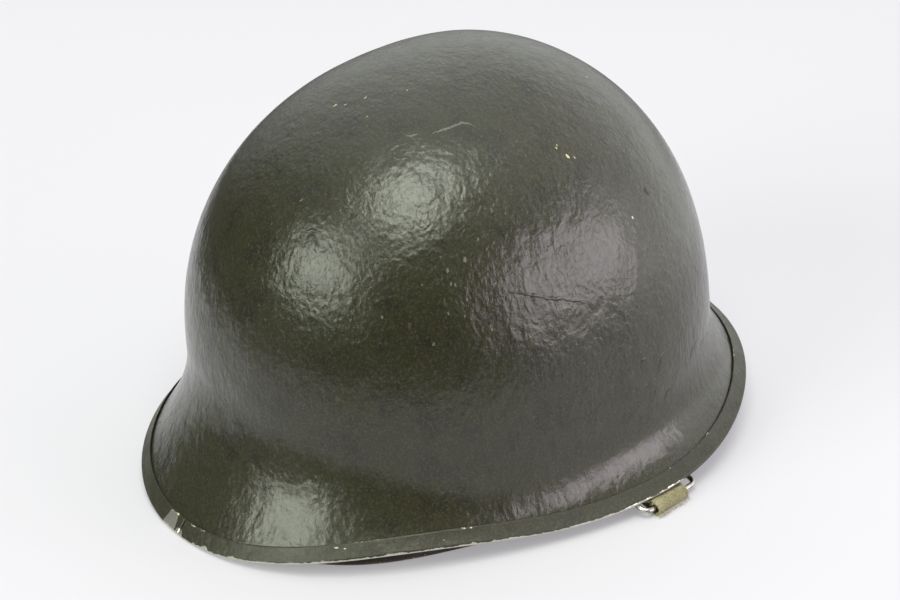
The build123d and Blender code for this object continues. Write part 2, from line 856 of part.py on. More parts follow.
told("whole", whole.size, shift)
told("loop pivot and axis", at(loop_turn, pivot_radius, pivot_at) + shift, tangent(loop_turn))
told("eyelet and way in", eyelet_plane().offset(-liner_wall / 2).origin + shift, -eyelet_plane().z_dir)
buckle_frame = on_path(right_path, buckle_place, climbing(buckle_place))
told("buckle slide, before mirroring", buckle_frame.origin + shift, buckle_frame.x_dir)
curve_radius = sweat_half_width**2 / sweat_half_length
told("runner's turning centre", Vector(0, -band_centre + sweat_half_length - curve_radius, band_height) + shift)
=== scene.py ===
import json
import random
from math import cos, pi, radians, sin

import bmesh
import bpy
import numpy as np
from mathutils import Matrix, Vector, noise


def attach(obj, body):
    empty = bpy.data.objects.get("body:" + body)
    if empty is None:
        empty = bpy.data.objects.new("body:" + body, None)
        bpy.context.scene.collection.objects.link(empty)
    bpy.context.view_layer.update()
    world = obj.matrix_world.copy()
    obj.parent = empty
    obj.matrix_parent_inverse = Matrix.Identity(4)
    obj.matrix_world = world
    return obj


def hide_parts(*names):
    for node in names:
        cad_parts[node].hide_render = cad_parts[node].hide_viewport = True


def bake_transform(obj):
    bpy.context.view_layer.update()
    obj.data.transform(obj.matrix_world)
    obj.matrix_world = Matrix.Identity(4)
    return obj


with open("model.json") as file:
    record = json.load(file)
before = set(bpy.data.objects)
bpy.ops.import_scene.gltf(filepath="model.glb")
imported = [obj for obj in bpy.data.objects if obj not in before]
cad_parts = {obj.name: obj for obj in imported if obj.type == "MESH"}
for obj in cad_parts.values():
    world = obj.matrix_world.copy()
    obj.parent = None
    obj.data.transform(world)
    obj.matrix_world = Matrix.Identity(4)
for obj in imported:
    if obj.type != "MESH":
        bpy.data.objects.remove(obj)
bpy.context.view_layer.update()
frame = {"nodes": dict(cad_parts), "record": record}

# Every shape below is worked out in millimetres round the pot's own axis, and made in metres
mm = 0.001
# From that axis to the frame's origin, the floor point under the middle of the solids
middle_shift = np.array([0.0, 17.1767, 0.0464])

# Steel pot, the same sizes as the solids. Lists run from the front round to the back
crown_height = 178.0
half_width = 105.0
front_reach = 127.5
rear_reach = 106.5
steel_wall = 1.1
crown_forward = 2.7
plan_power = 2.2
dome_power = 2.2
nudge = 1e-4
steel = {
    "crown": crown_height,
    "side": half_width,
    "front": front_reach,
    "rear": rear_reach,
    "waists": 57.0 * np.array([1.0, 0.81, 0.65, 0.88, 1.12]),
    "flares": 30.0 * np.array([1.0, 0.80, 0.45, 0.36, 0.48, 0.53, 0.50, 0.53, 0.55]),
    "rims": 21.0 * np.array([0.067, 0.345, 0.576, 0.41, 0.385, 0.57, 0.857, 1.01, 1.0]),
    "slopes": np.array([50.0, 45.0, 36.0, 31.0, 30.0]),
}
edging_width = 6.6
edging_wall = 0.5
edging_clearance = 0.05
edging_seam_gap = 0.6

# Liner, nested inside the pot
liner_wall = 2.4
crown_room = 5.0
nesting = steel_wall + 0.8
liner = {
    "crown": crown_height - steel_wall - crown_room,
    "side": half_width - nesting,
    "front": front_reach - nesting,
    "rear": rear_reach - nesting,
    "waists": 48.0 * np.array([1.0, 0.81, 0.65, 0.88, 1.12]),
    "flares": 22.0 * np.array([1.0, 0.88, 0.24, 0.04, 0.12, 0.14, 0.14, 0.14, 0.14]),
    "rims": 17.0 * np.array([0.36, 0.23, 0.13, 0.12, 0.25, 0.50, 0.78, 0.97, 1.0]),
    "slopes": np.array([46.0, 46.0, 60.0, 60.0, 60.0]),
}


def along_side(stations, angle):
    """Smooth curve through even stations from the front round to the back."""
    last = len(stations) - 1
    total = np.zeros_like(angle)
    for wave in range(last + 1):
        ends = [0.5 if i in (0, last) else 1.0 for i in range(last + 1)]
        weight = sum(e * s * cos(pi * i * wave / last) for i, (e, s) in enumerate(zip(ends, stations)))
        total = total + weight * np.cos(wave * angle) * (1.0 if wave in (0, last) else 2.0) / last
    return total


def profile(bowl, angle, station):
    """Radius, height and share of the rise: station 0 is the crown, 1 the waist and 2 the rim."""
    reach = np.where(np.cos(angle) > 0, bowl["front"], bowl["rear"])
    plan = (abs(np.cos(angle)) / reach) ** plan_power + (abs(np.sin(angle)) / bowl["side"]) ** plan_power
    waist = plan ** (-1 / plan_power)
    waist_at = along_side(bowl["waists"], angle)
    turn = np.minimum(station, 1) * pi / 2
    rise = np.maximum(np.cos(turn), 0) ** (2 / dome_power)
    dome = waist * np.sin(turn) ** (2 / dome_power)
    down = np.maximum(station - 1, 0)
    flare = along_side(bowl["flares"], angle)
    rim_at = along_side(bowl["rims"], angle)
    pull_at = rim_at + flare * np.tan(np.radians(along_side(bowl["slopes"], angle)))
    low = (1 - down) ** 2 * waist_at + 2 * down * (1 - down) * pull_at + down**2 * rim_at
    on_dome = station <= 1
    radius = np.where(on_dome, dome, waist + down**2 * flare)
    height = np.where(on_dome, waist_at + (bowl["crown"] - waist_at) * rise, low)
    return radius, height, np.where(on_dome, rise, 0.0)


def wall_place(bowl, angle, station, depth=0.0, beyond=0.0):
    """Points under the bowl's outer face, and past it down the wall, in millimetres."""
    angle, station = np.broadcast_arrays(np.asarray(angle, float), np.asarray(station, float))
    radius, height, rise = profile(bowl, angle, station)
    before = profile(bowl, angle, np.maximum(station - nudge, 0))
    after = profile(bowl, angle, station + nudge)
    out, up = after[0] - before[0], after[1] - before[1]
    length = np.hypot(out, up)
    out, up = out / length, up / length
    radius = radius + depth * up + beyond * out
    height = height - depth * out + beyond * up
    return np.stack(
        [radius * np.sin(angle), -radius * np.cos(angle) - crown_forward * rise, height], axis=-1
    )


def edging_station(angle, width):
    """The station on the flare that lies this far above the rim."""
    station = np.full_like(angle, 2.0)
    rim = wall_place(steel, angle, 2.0)
    slope = np.linalg.norm(rim - wall_place(steel, angle, 2.0 - nudge), axis=-1) / nudge
    for _ in range(3):
        step = np.linalg.norm(wall_place(steel, angle, station) - rim, axis=-1)
        station = station - (width - step) / slope
    return station


# Camera, at the photograph's viewing angle
view_turn = 54.47
view_rise = 29.462
view_roll = radians(-3.183)
view_distance = 1491.86
view_focal_px = 3369.65
photo_width_px = 900
aim_height = 80.0
aim_right = -6.36
aim_up = -19.656


def direction(turn, rise):
    """Unit vector at this turn from the visor and rise, in degrees."""
    turn, rise = radians(turn), radians(rise)
    return Vector((sin(turn) * cos(rise), -cos(turn) * cos(rise), sin(rise)))


def make_camera():
    """Camera level with the photographer's, rolled a little, its aim set off so the helmet sits as photographed."""
    back = direction(view_turn, view_rise)
    level = Vector((cos(radians(view_turn)), sin(radians(view_turn)), 0))
    upright = back.cross(level)
    across = level * cos(view_roll) + upright * sin(view_roll)
    upwards = upright * cos(view_roll) - level * sin(view_roll)
    aim = Vector((0, 0, aim_height)) + level * aim_right + upright * aim_up
    camera = bpy.data.objects.new("camera", bpy.data.cameras.new("camera"))
    camera.data.sensor_width = 36
    camera.data.lens = view_focal_px * camera.data.sensor_width / photo_width_px
    camera.data.clip_start = 0.05
    turned = Matrix((across, upwards, back)).transposed().to_4x4()
    camera.matrix_world = Matrix.Translation((aim + back * view_distance + Vector(middle_shift)) * mm) @ turned
    bpy.context.scene.collection.objects.link(camera)
    bpy.context.scene.camera = camera


def linear(code):
    """Linear colour from an sRGB hex code."""
    parts = [int(code[i : i + 2], 16) / 255 for i in (1, 3, 5)]
    return tuple(c / 12.92 if c <= 0.04045 else ((c + 0.055) / 1.055) ** 2.4 for c in parts) + (1.0,)


def per(size_mm):
    """Texture scale, in repeats a metre, for a feature of this size."""
    return 1 / (size_mm * mm)


def add(tree, kind, links=None, output=0, **settings):
    """Adds a node and gives back one output. Links set each input: an output, a colour code or a plain value."""
    node = tree.nodes.new("ShaderNode" + kind)
    for name, value in settings.items():
        setattr(node, name, value)
    for socket, source in (links or {}).items():
        if isinstance(source, bpy.types.NodeSocket):
            tree.links.new(source, node.inputs[socket])
        else:
            node.inputs[socket].default_value = linear(source) if isinstance(source, str) else source
    return node.outputs[output] if node.outputs else None


def laid_over(tree, under, over, source, start, full, most=1.0):
    """Colour of one layer over another, where the source rises from start to full, at most to this share."""
    share = add(tree, "MapRange", {"Value": source, "From Min": start, "From Max": full, "To Max": most})
    return add(tree, "Mix", {0: share, 6: under, 7: over}, 2, data_type="RGBA")


def new_material(name):
    """Empty material and its node tree."""
    material = bpy.data.materials.new(name)
    material.use_nodes = True
    material.node_tree.nodes.clear()
    return material, material.node_tree


def surfaced(material, links):
    """The material closed with its surface shader."""
    shader = add(material.node_tree, "BsdfPrincipled", links)
    add(material.node_tree, "OutputMaterial", {"Surface": shader})
    return material


def make_light(name, turn, rise, distance, size, watts, colour):
    """Soft box that looks at the helmet from this turn and rise, in metres and watts."""
    data = bpy.data.lights.new(name, "AREA")
    data.shape = "RECTANGLE"
    data.size, data.size_y = size
    data.energy = watts
    data.color = linear(colour)[:3]
    back = direction(turn, rise)
    light = bpy.data.objects.new(name, data)
    light.location = Vector((0, 0, aim_height * mm)) + back * distance
    light.rotation_mode = "QUATERNION"
    light.rotation_quaternion = (-back).to_track_quat("-Z", "Y")
    bpy.context.scene.collection.objects.link(light)


def make_table(name, inner, outer, material):
    """Flat ring of table round the helmet."""
    count = 96
    turns = [2 * pi * i / count for i in range(count)]
    corners = [(radius * cos(turn), radius * sin(turn), 0) for radius in (inner, outer) for turn in turns]
    faces = [(i, i + count, (i + 1) % count + count, (i + 1) % count) for i in range(count)]
    mesh = bpy.data.meshes.new(name)
    mesh.from_pydata(corners, [], faces)
    mesh.materials.append(material)
    table = bpy.data.objects.new(name, mesh)
    bpy.context.scene.collection.objects.link(table)
    return table


def white_table():
    """Matt painted board: a fine grain, and a faint light of its own that stands for the room's bounce."""
    material, tree = new_material("matt_white_table")
    grain = add(tree, "TexNoise", {"Scale": per(2.0), "Detail": 3.0})
    rough = add(tree, "MapRange", {"Value": grain, "To Min": 0.75, "To Max": 0.9})
    return surfaced(material, {
        "Base Color": "#a09da5", "Roughness": rough, "Emission Color": "#fdfcff", "Emission Strength": 0.3,
    })


def make_room():
    """Dim room with soft bright and dark sides, each at a turn and rise in degrees, between two cosines."""
    world = bpy.data.worlds.new("pale_room")
    world.use_nodes = True
    tree = world.node_tree
    tree.nodes.clear()
    way = add(tree, "TexCoord", None, "Generated")
    room = "#403f3d"
    for turn, rise, start, full, code in (
        (-150, 50, 0.2, 0.9, "#e2e5e4"), (164, 8, 0.62, 0.95, "#ffffff"), (48, 4, 0.3, 0.9, "#0c0b09"),
    ):
        toward = add(
            tree, "VectorMath", {0: way, 1: tuple(direction(turn, rise))}, "Value", operation="DOT_PRODUCT"
        )
        share = add(
            tree, "MapRange", {"Value": toward, "From Min": start, "From Max": full},
            interpolation_type="SMOOTHSTEP",
        )
        room = add(tree, "Mix", {0: share, 6: room, 7: code}, 2, data_type="RGBA")
    add(tree, "OutputWorld", {"Surface": add(tree, "Background", {"Color": room, "Strength": 1.6})})
    bpy.context.scene.world = world


def make_studio():
    """White table under two soft boxes and a side panel, with the room dark behind the camera."""
    board = white_table()
    pinhole, near, far = 0.0005, 0.42, 4.0
    make_table("table_near", pinhole, near, board)
    # The far table is kept out of reflections, so the paint mirrors a darker room
    make_table("table_far", near, far, board).visible_glossy = False
    make_room()
    for name, turn, rise, distance, size, watts, colour in (
        ("overhead_box", 56, 67, 3.1, (1.6, 1.6), 84, "#f8ffee"),
        ("window_box", 1, 29, 3.4, (2.1, 1.45), 81, "#f8ffee"),
        ("side_panel", 119, 11, 3.4, (2.4, 1.5), 70, "#f4eaf2"),
    ):
        make_light(name, turn, rise, distance, size, watts, colour)
    bpy.context.scene.view_settings.view_transform = "Standard"


make_camera()
make_studio()


def sheet_faces(rows, columns, closed_rows=False, closed_columns=False, offset=0):
    """Quads of a grid of points; outward is down a column crossed with along a row."""
    faces = []
    for i in range(rows if closed_rows else rows - 1):
        for j in range(columns if closed_columns else columns - 1):
            here, below, beside = offset + i * columns, offset + (i + 1) % rows * columns, (j + 1) % columns
            faces.append((here + j, below + j, below + beside, here + beside))
    return faces


def make_piece(name, points, faces, material, body, replaced=(), floats=None, vectors=None):
    """Mesh piece from points in the helmet's own millimetres, with per-point values for its material."""
    mesh = bpy.data.meshes.new(name)
    places = (np.asarray(points, float) + middle_shift) * mm
    mesh.from_pydata(places.tolist(), [], faces)
    shape = bmesh.new()
    shape.from_mesh(mesh)
    bmesh.ops.recalc_face_normals(shape, faces=shape.faces)
    shape.to_mesh(mesh)
    shape.free()
    for key, values in (floats or {}).items():
        mesh.attributes.new(key, "FLOAT", "POINT").data.foreach_set("value", np.asarray(values, np.float32))
    for key, values in (vectors or {}).items():
        flat = np.asarray(values, np.float32).ravel()
        mesh.attributes.new(key, "FLOAT_VECTOR", "POINT").data.foreach_set("vector", flat)
    mesh.polygons.foreach_set("use_smooth", [True] * len(mesh.polygons))
    mesh.update()
    mesh.materials.append(material)
    piece = bpy.data.objects.new(name, mesh)
    bpy.context.scene.collection.objects.link(piece)
    if body:
        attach(piece, body)
    if replaced:
        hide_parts(*replaced)
    return piece


def unit(vectors):
    """The same directions at length 1."""
    return vectors / np.maximum(np.linalg.norm(vectors, axis=-1, keepdims=True), 1e-12)


def waviness(points, size_mm, seed):
    """Smooth random value from -1 to 1 at each point."""
    offset = Vector((seed * 17.3, seed * 5.1, seed * 11.7))
    flat = np.asarray(points, float).reshape(-1, 3) / size_mm
    values = [noise.noise(Vector(place) + offset) for place in flat]
    return np.array(values).reshape(np.asarray(points).shape[:-1])


def enamel_coat(tree):
    """Colour, roughness and surface of olive enamel, brushed thickly on and wrinkled as it dried."""
    here = add(tree, "TexCoord", None, "Object")
    upright = add(tree, "Mapping", {"Vector": here, "Scale": (1.0, 1.0, 0.75)})
    run = add(tree, "Attribute", None, "Vector", attribute_name="run")
    drift = add(tree, "TexNoise", {"Vector": here, "Scale": per(60), "Detail": 4.0})
    blotch = add(tree, "TexNoise", {"Vector": here, "Scale": per(12), "Detail": 5.0, "Roughness": 0.65})
    streak = add(tree, "TexNoise", {"Vector": run, "Scale": 1 / 2.6, "Detail": 5.0, "Roughness": 0.6})
    crinkle = add(
        tree, "TexNoise",
        {"Vector": upright, "Scale": per(2.0), "Detail": 4.0, "Roughness": 0.6, "Distortion": 0.5},
    )
    ridge = add(
        tree, "TexNoise",
        {"Vector": upright, "Scale": per(6.0), "Detail": 3.0, "Roughness": 0.5, "Distortion": 1.1},
        noise_type="RIDGED_MULTIFRACTAL",
    )
    swell = add(tree, "TexNoise", {"Vector": upright, "Scale": per(8.0), "Detail": 2.0})
    patch = add(tree, "TexNoise", {"Vector": here, "Scale": per(22), "Detail": 3.0})
    sand = add(tree, "TexNoise", {"Vector": here, "Scale": per(1.0), "Detail": 3.0, "Roughness": 0.65})
    # The wrinkles come in patches and are calmer on the brim, which starts 28 mm up
    rucked = add(tree, "MapRange", {"Value": patch, "From Min": 0.4, "From Max": 0.62, "To Min": 0.35})
    height = add(tree, "SeparateXYZ", {0: here}, "Z")
    upper = add(tree, "MapRange", {"Value": height, "From Min": 28 * mm, "From Max": 70 * mm, "To Min": 0.35})
    rucked = add(tree, "Math", {0: rucked, 1: upper}, operation="MULTIPLY")
    crinkle = add(tree, "Math", {0: crinkle, 1: rucked}, operation="MULTIPLY")
    ridge = add(tree, "Math", {0: ridge, 1: upper}, operation="MULTIPLY")
    coat = "#222213"
    for code, source, start, full, most in (
        ("#262517", drift, 0.42, 0.62, 1.0),
        ("#17160c", blotch, 0.5, 0.66, 0.8),
        ("#302f1e", streak, 0.55, 0.75, 0.5),
        ("#403e2e", sand, 0.5, 0.68, 0.65),
    ):
        coat = laid_over(tree, coat, code, source, start, full, most)
    rough = add(
        tree, "MapRange", {"Value": blotch, "From Min": 0.3, "From Max": 0.7, "To Min": 0.4, "To Max": 0.52}
    )
    surface = None
    for source, depth_mm in ((sand, 0.07), (streak, 0.14), (crinkle, 0.3), (ridge, 0.2), (swell, 0.55)):
        links = {"Height": source, "Distance": depth_mm * mm}
        if surface:
            links["Normal"] = surface
        surface = add(tree, "Bump", links)
    return coat, rough, surface


def brushed_enamel(name="brushed_olive_enamel", code=None, share=0.0):
    """Semi-gloss olive enamel over steel; with a code, the same coat mixed towards that colour, as painted shade.
    """
    material, tree = new_material(name)
    coat, rough, surface = enamel_coat(tree)
    if code:
        coat = add(tree, "Mix", {0: share, 6: coat, 7: code}, 2, data_type="RGBA")
    return surfaced(material, {
        "Base Color": coat, "Roughness": rough, "IOR": 1.5, "Specular IOR Level": 0.18, "Normal": surface,
        "Coat Weight": 0.9, "Coat Roughness": 0.2, "Coat IOR": 1.45, "Coat Normal": surface,
    })


def worn_edging():
    """Stainless strip painted over with the pot: bright metal shows where its lower edge is rubbed bare."""
    material, tree = new_material("painted_stainless_strip")
    coat, rough, surface = enamel_coat(tree)
    here = add(tree, "TexCoord", None, "Object")
    worn = add(tree, "Attribute", None, "Fac", attribute_name="worn")
    ragged = add(tree, "TexNoise", {"Vector": here, "Scale": per(1.6), "Detail": 5.0, "Roughness": 0.7})
    wander = add(tree, "TexNoise", {"Vector": here, "Scale": per(9.0), "Detail": 3.0})
    scratch = add(tree, "TexNoise", {"Vector": here, "Scale": per(0.7), "Detail": 4.0})
    rubbed = add(tree, "Math", {0: ragged, 1: 2.2, 2: worn}, operation="MULTIPLY_ADD")
    rubbed = add(tree, "Math", {0: wander, 1: 2.4, 2: rubbed}, operation="MULTIPLY_ADD")
    bare = add(tree, "MapRange", {"Value": rubbed, "From Min": 2.3, "From Max": 2.36})
    chipped = laid_over(tree, coat, "#c9c4ae", rubbed, 2.22, 2.25)
    colour = add(tree, "Mix", {0: bare, 6: chipped, 7: "#c4c2b9"}, 2, data_type="RGBA")
    steel_rough = add(tree, "MapRange", {"Value": scratch, "To Min": 0.28, "To Max": 0.5})
    gloss = add(tree, "Mix", {0: bare, 2: rough, 3: steel_rough}, data_type="FLOAT")
    step = add(tree, "Math", {0: 1.0, 1: bare}, operation="SUBTRACT")
    lip = add(tree, "Bump", {"Height": step, "Distance": 0.12 * mm, "Normal": surface})
    return surfaced(material, {
        "Base Color": colour, "Roughness": gloss, "Metallic": bare, "IOR": 1.5, "Normal": lip,
    })


def plain_finish(name, code, rough, metallic=0.0, bump_mm=0.05, grain_mm=1.2, wear="#000000", wear_share=0.0):
    """Pressed, drawn or cast surface with a fine grain, patchy wear and uneven gloss."""
    material, tree = new_material(name)
    here = add(tree, "TexCoord", None, "Object")
    grain = add(tree, "TexNoise", {"Vector": here, "Scale": per(grain_mm), "Detail": 4.0})
    patch = add(tree, "TexNoise", {"Vector": here, "Scale": per(grain_mm * 4), "Detail": 5.0, "Roughness": 0.65})
    roughness = add(tree, "MapRange", {"Value": grain, "To Min": rough - 0.12, "To Max": rough + 0.12})
    return surfaced(material, {
        "Base Color": laid_over(tree, code, wear, patch, 0.48, 0.62, wear_share),
        "Roughness": roughness, "Metallic": metallic,
        "Normal": add(tree, "Bump", {"Height": grain, "Distance": bump_mm * mm}),
    })


def liner_laminate():
    """Cotton duck in resin, painted dark outside and bare olive-brown inside, chipped tan along its edge."""
    material, tree = new_material("resin_duck_laminate")
    here = add(tree, "TexCoord", None, "Object")
    cloth = add(tree, "Attribute", None, "Vector", attribute_name="cloth")
    depth = add(tree, "Attribute", None, "Fac", attribute_name="depth")
    edge = add(tree, "Attribute", None, "Fac", attribute_name="edge")
    threads = []
    for axis, pitch in (("X", 1.3), ("Y", 1.1)):
        place = add(tree, "SeparateXYZ", {0: cloth}, axis)
        turn = add(tree, "Math", {0: place, 1: 2 * pi / pitch}, operation="MULTIPLY")
        threads.append(add(tree, "Math", {0: turn}, operation="SINE"))
    weave = add(tree, "Math", {0: threads[0], 1: threads[1]}, operation="MULTIPLY")
    patch = add(tree, "TexNoise", {"Vector": here, "Scale": per(16), "Detail": 5.0, "Roughness": 0.65})
    speck = add(tree, "TexNoise", {"Vector": here, "Scale": per(1.5), "Detail": 4.0, "Roughness": 0.7})
    resin = laid_over(tree, "#4a4028", "#5d4f31", patch, 0.35, 0.65)
    paint = laid_over(tree, "#25241a", "#302e22", patch, 0.35, 0.65)
    faces = laid_over(tree, paint, resin, depth, 0.4, 0.6)
    close = add(tree, "MapRange", {"Value": edge, "From Min": 3.5, "From Max": 0.0})
    chip = add(tree, "Math", {0: close, 1: 0.32, 2: speck}, operation="MULTIPLY_ADD")
    # Darker towards the edge, which sits under the pot's rim
    edge_darkened = laid_over(tree, faces, "#1f1710", chip, 0.6, 0.72)
    woven = add(tree, "Bump", {"Height": weave, "Distance": 0.05 * mm})
    return surfaced(material, {
        "Base Color": laid_over(tree, edge_darkened, "#a06f38", chip, 0.83, 0.87),
        "Roughness": add(tree, "MapRange", {"Value": speck, "To Min": 0.42, "To Max": 0.72}),
        "Normal": add(tree, "Bump", {"Height": speck, "Distance": 0.18 * mm, "Normal": woven}),
    })


def cotton_web(name, code, groove_shade_code, faded_code):
    """Herringbone cotton web: raised twill cords 1.2 mm apart with painted shade in the grooves, faded on top and
    fuzzy to the touch.
    """
    material, tree = new_material(name)
    here = add(tree, "TexCoord", None, "Object")
    cloth = add(tree, "Attribute", None, "Vector", attribute_name="cloth")
    across = add(tree, "SeparateXYZ", {0: cloth}, "X")
    along = add(tree, "SeparateXYZ", {0: cloth}, "Y")
    zigzag = add(tree, "Math", {0: across, 1: 3.2}, operation="PINGPONG")
    slant = add(tree, "Math", {0: along, 1: zigzag}, operation="ADD")
    cord_turn = add(tree, "Math", {0: slant, 1: 2 * pi / 1.2}, operation="MULTIPLY")
    cord = add(tree, "Math", {0: cord_turn}, operation="SINE")
    thread_turn = add(tree, "Math", {0: across, 1: 2 * pi / 0.8}, operation="MULTIPLY")
    thread = add(tree, "Math", {0: thread_turn}, operation="SINE")
    weave = add(tree, "Math", {0: thread, 1: 0.35, 2: cord}, operation="MULTIPLY_ADD")
    fuzz = add(tree, "TexNoise", {"Vector": here, "Scale": per(1.3), "Detail": 5.0, "Roughness": 0.75})
    fade = add(tree, "TexNoise", {"Vector": here, "Scale": per(11), "Detail": 4.0, "Roughness": 0.6})
    # The grooves between the cords darker: painted shade
    colour = laid_over(tree, code, groove_shade_code, weave, 0.3, -1.1, 0.35)
    # Faded patches, lint that stands off, and painted shade between it where the fuzz lies low
    for layer, source, start, full, most in (
        (faded_code, fade, 0.42, 0.66, 0.75),
        (faded_code, fuzz, 0.55, 0.75, 0.4),
        (groove_shade_code, fuzz, 0.47, 0.36, 0.8),
    ):
        colour = laid_over(tree, colour, layer, source, start, full, most)
    woven = add(tree, "Bump", {"Height": weave, "Distance": 0.09 * mm})
    return surfaced(material, {
        "Base Color": colour, "Roughness": 0.95, "Sheen Weight": 0.35, "Sheen Roughness": 0.4,
        "Normal": add(tree, "Bump", {"Height": fuzz, "Distance": 0.6 * mm, "Normal": woven}),
    })


def band_leather():
    """Vegetable-tanned sweatband leather: brown with dark sweat stains, pebbled and creased by use."""
    material, tree = new_material("tanned_brown_leather")
    here = add(tree, "TexCoord", None, "Object")
    flat = add(tree, "Mapping", {"Vector": here, "Scale": (1.0, 1.0, 0.45)})
    pebble = add(tree, "TexVoronoi", {"Vector": here, "Scale": per(1.1)}, "Distance", feature="SMOOTH_F1")
    sweat = add(tree, "TexNoise", {"Vector": here, "Scale": per(26), "Detail": 5.0, "Roughness": 0.6})
    crease = add(
        tree, "TexNoise", {"Vector": flat, "Scale": per(7.0), "Detail": 3.0, "Distortion": 0.7},
        noise_type="RIDGED_MULTIFRACTAL",
    )
    hide = laid_over(tree, "#6b4325", "#3a2313", sweat, 0.4, 0.66)
    grain = add(tree, "Bump", {"Height": pebble, "Distance": -0.12 * mm})
    return surfaced(material, {
        "Base Color": laid_over(tree, hide, "#8a5c34", crease, 0.9, 1.5, 0.5),
        "Roughness": add(tree, "MapRange", {"Value": sweat, "To Min": 0.4, "To Max": 0.62}),
        "Normal": add(tree, "Bump", {"Height": crease, "Distance": 0.2 * mm, "Normal": grain}),
    })


# Enamel over steel: dark olive, semi-gloss, with crinkled highlights
enamel = brushed_enamel()
# The same enamel darkened almost to black: painted shade in deep cracks and under the brim
crack_shade_enamel = brushed_enamel("crack_shade_olive_enamel", "#12110a", 0.7)
# Stainless strip: enamel above, a bright rubbed line below
edging_finish = worn_edging()
# Cream primer and knocks that show through the enamel
primer = plain_finish(
    "chipped_cream_primer", "#c2bb9c", 0.7, bump_mm=0.1, grain_mm=0.6, wear="#8c8468", wear_share=0.8
)
# Old rust and dirt soaked into the coat: flat and dark brown, paler in patches
stain = plain_finish("brown_rust_stain", "#2a2213", 0.7, bump_mm=0.08, grain_mm=0.8, wear="#4a3c24", wear_share=0.7)
# Enamel rubbed thin or nicked: small dull grey-olive spots
scuff = plain_finish("pale_enamel_scuff", "#56554a", 0.5, bump_mm=0.1, grain_mm=0.6, wear="#4a493c", wear_share=0.9)
# Drawn steel wire: bright, with old paint in its corners
loop_steel = plain_finish("drawn_steel_wire", "#bdbbb4", 0.3, 1.0, wear="#6b675c", wear_share=0.7)
# Cloth and resin moulded together: dull and patchy, with the cloth's print in its face
laminate = liner_laminate()
# Faded khaki chin-strap web and the paler web inside the liner
# The second colour of each web is painted shade in its grooves
strap_web = cotton_web("faded_khaki_web", "#7f7752", "#514b35", "#a1987a")
liner_web = cotton_web("khaki_liner_web", "#8d8762", "#5f5a3d", "#a39d7b")
# Tanned hide: warm brown, satin, with fine pebbles
leather = band_leather()
# Linen sewing thread, waxed: dull, a little darker than the web
thread = plain_finish("waxed_linen_thread", "#6d6845", 0.8, grain_mm=0.4, wear="#8f8964", wear_share=0.8)
# Loose cotton: pale, dull and matt, since light passes into the fibres
fluff = plain_finish(
    "frayed_cotton_fibre", "#a8a27c", 0.95, bump_mm=0.01, grain_mm=0.5, wear="#bcae86", wear_share=0.9
)
# Cast brass, blackened, with yellow metal on its rubbed edges
black_brass = plain_finish("blackened_brass", "#2b261b", 0.42, 0.9, wear="#8a713c", wear_share=0.6)
# Pressed steel, japanned black
black_steel = plain_finish("japanned_steel", "#23241d", 0.42, 0.4, wear="#5a5648", wear_share=0.5)


def ring_angles(count):
    """Even turns once round."""
    return np.linspace(0, 2 * pi, count, endpoint=False)


def arc_length(rows):
    """Distance down the wall to each row of points, from the first row."""
    steps = np.linalg.norm(np.diff(rows, axis=0), axis=-1)
    return np.concatenate([np.zeros((1, rows.shape[1])), np.cumsum(steps, axis=0)])


def brush_run(rows, down):
    """Places for the brush strokes' pattern: ten times longer down the wall than across it."""
    return (rows * [1, 1, 0] + down[..., None] * [0, 0, 0.1]).reshape(-1, 3)


def enamel_place(angle, station, lift=0.0):
    """A place on the pot's painted face, which is a little wavy above the strip, where the dome was drawn."""
    flat = wall_place(steel, angle, station)
    calm_from, calm_over = 1.9, 0.3
    calm = np.clip((calm_from - np.broadcast_to(station, flat.shape[:-1])) / calm_over, 0, 1)
    ripple = 0.16 * waviness(flat, 34, 1) + 0.05 * waviness(flat, 11, 2)
    return wall_place(steel, angle, station, -lift - ripple * calm)


def bowl_piece(name, node, bowl, wall, material, body, around, dome_rows, flare_rows, wavy=False):
    """Smooth bowl with both faces, a rounded rim between them and a pole on each face."""
    angle = ring_angles(around)
    by_the_pole = 0.012
    stations = np.concatenate([np.linspace(by_the_pole, 1, dome_rows), np.linspace(1, 2, flare_rows)[1:]])
    if wavy:
        outer = enamel_place(angle[None, :], stations[:, None])
    else:
        outer = wall_place(bowl, angle[None, :], stations[:, None])
    inner = wall_place(bowl, angle[None, :], stations[::-1, None], wall)
    turns = np.linspace(0, pi, 7)[1:-1]
    rounding = min(wall / 2, 0.6)
    rim = np.stack(
        [wall_place(bowl, angle, 2.0, wall / 2 - wall / 2 * cos(t), rounding * sin(t) - rounding) for t in turns]
    )
    outer[-1] = wall_place(bowl, angle, 2.0, 0.0, -rounding)
    inner[0] = wall_place(bowl, angle, 2.0, wall, -rounding)
    rows = np.concatenate([outer, rim, inner])
    down = arc_length(rows)
    edge = abs(down - down[len(outer) + 2])
    points = rows.reshape(-1, 3)
    poles = [[0, -crown_forward, bowl["crown"]], [0, -crown_forward, bowl["crown"] - wall]]
    top, under = len(points), len(points) + 1
    faces = sheet_faces(len(rows), around, closed_columns=True)
    faces += [(top, j, (j + 1) % around) for j in range(around)]
    last = (len(rows) - 1) * around
    faces += [(under, last + (j + 1) % around, last + j) for j in range(around)]
    # What the materials read: cloth places, brush strokes, how deep in the wall, and how far from the edge
    girth = np.broadcast_to(angle * bowl["side"], down.shape)
    cloth = np.stack([girth, down, 0 * down], axis=-1).reshape(-1, 3)
    depth = np.zeros(down.shape)
    depth[len(outer) : -len(inner)] = 0.5
    depth[-len(inner) :] = 1.0
    at_poles = [[0, 0, 0], [0, 0, 0]]
    far_from_edge = [99, 99]
    return make_piece(
        name, np.concatenate([points, poles]), faces, material, body, [node],
        floats={"depth": np.append(depth, [0, 1]), "edge": np.append(edge, far_from_edge)},
        vectors={
            "run": np.concatenate([brush_run(rows, down), at_poles]), "cloth": np.concatenate([cloth, at_poles]),
        },
    )


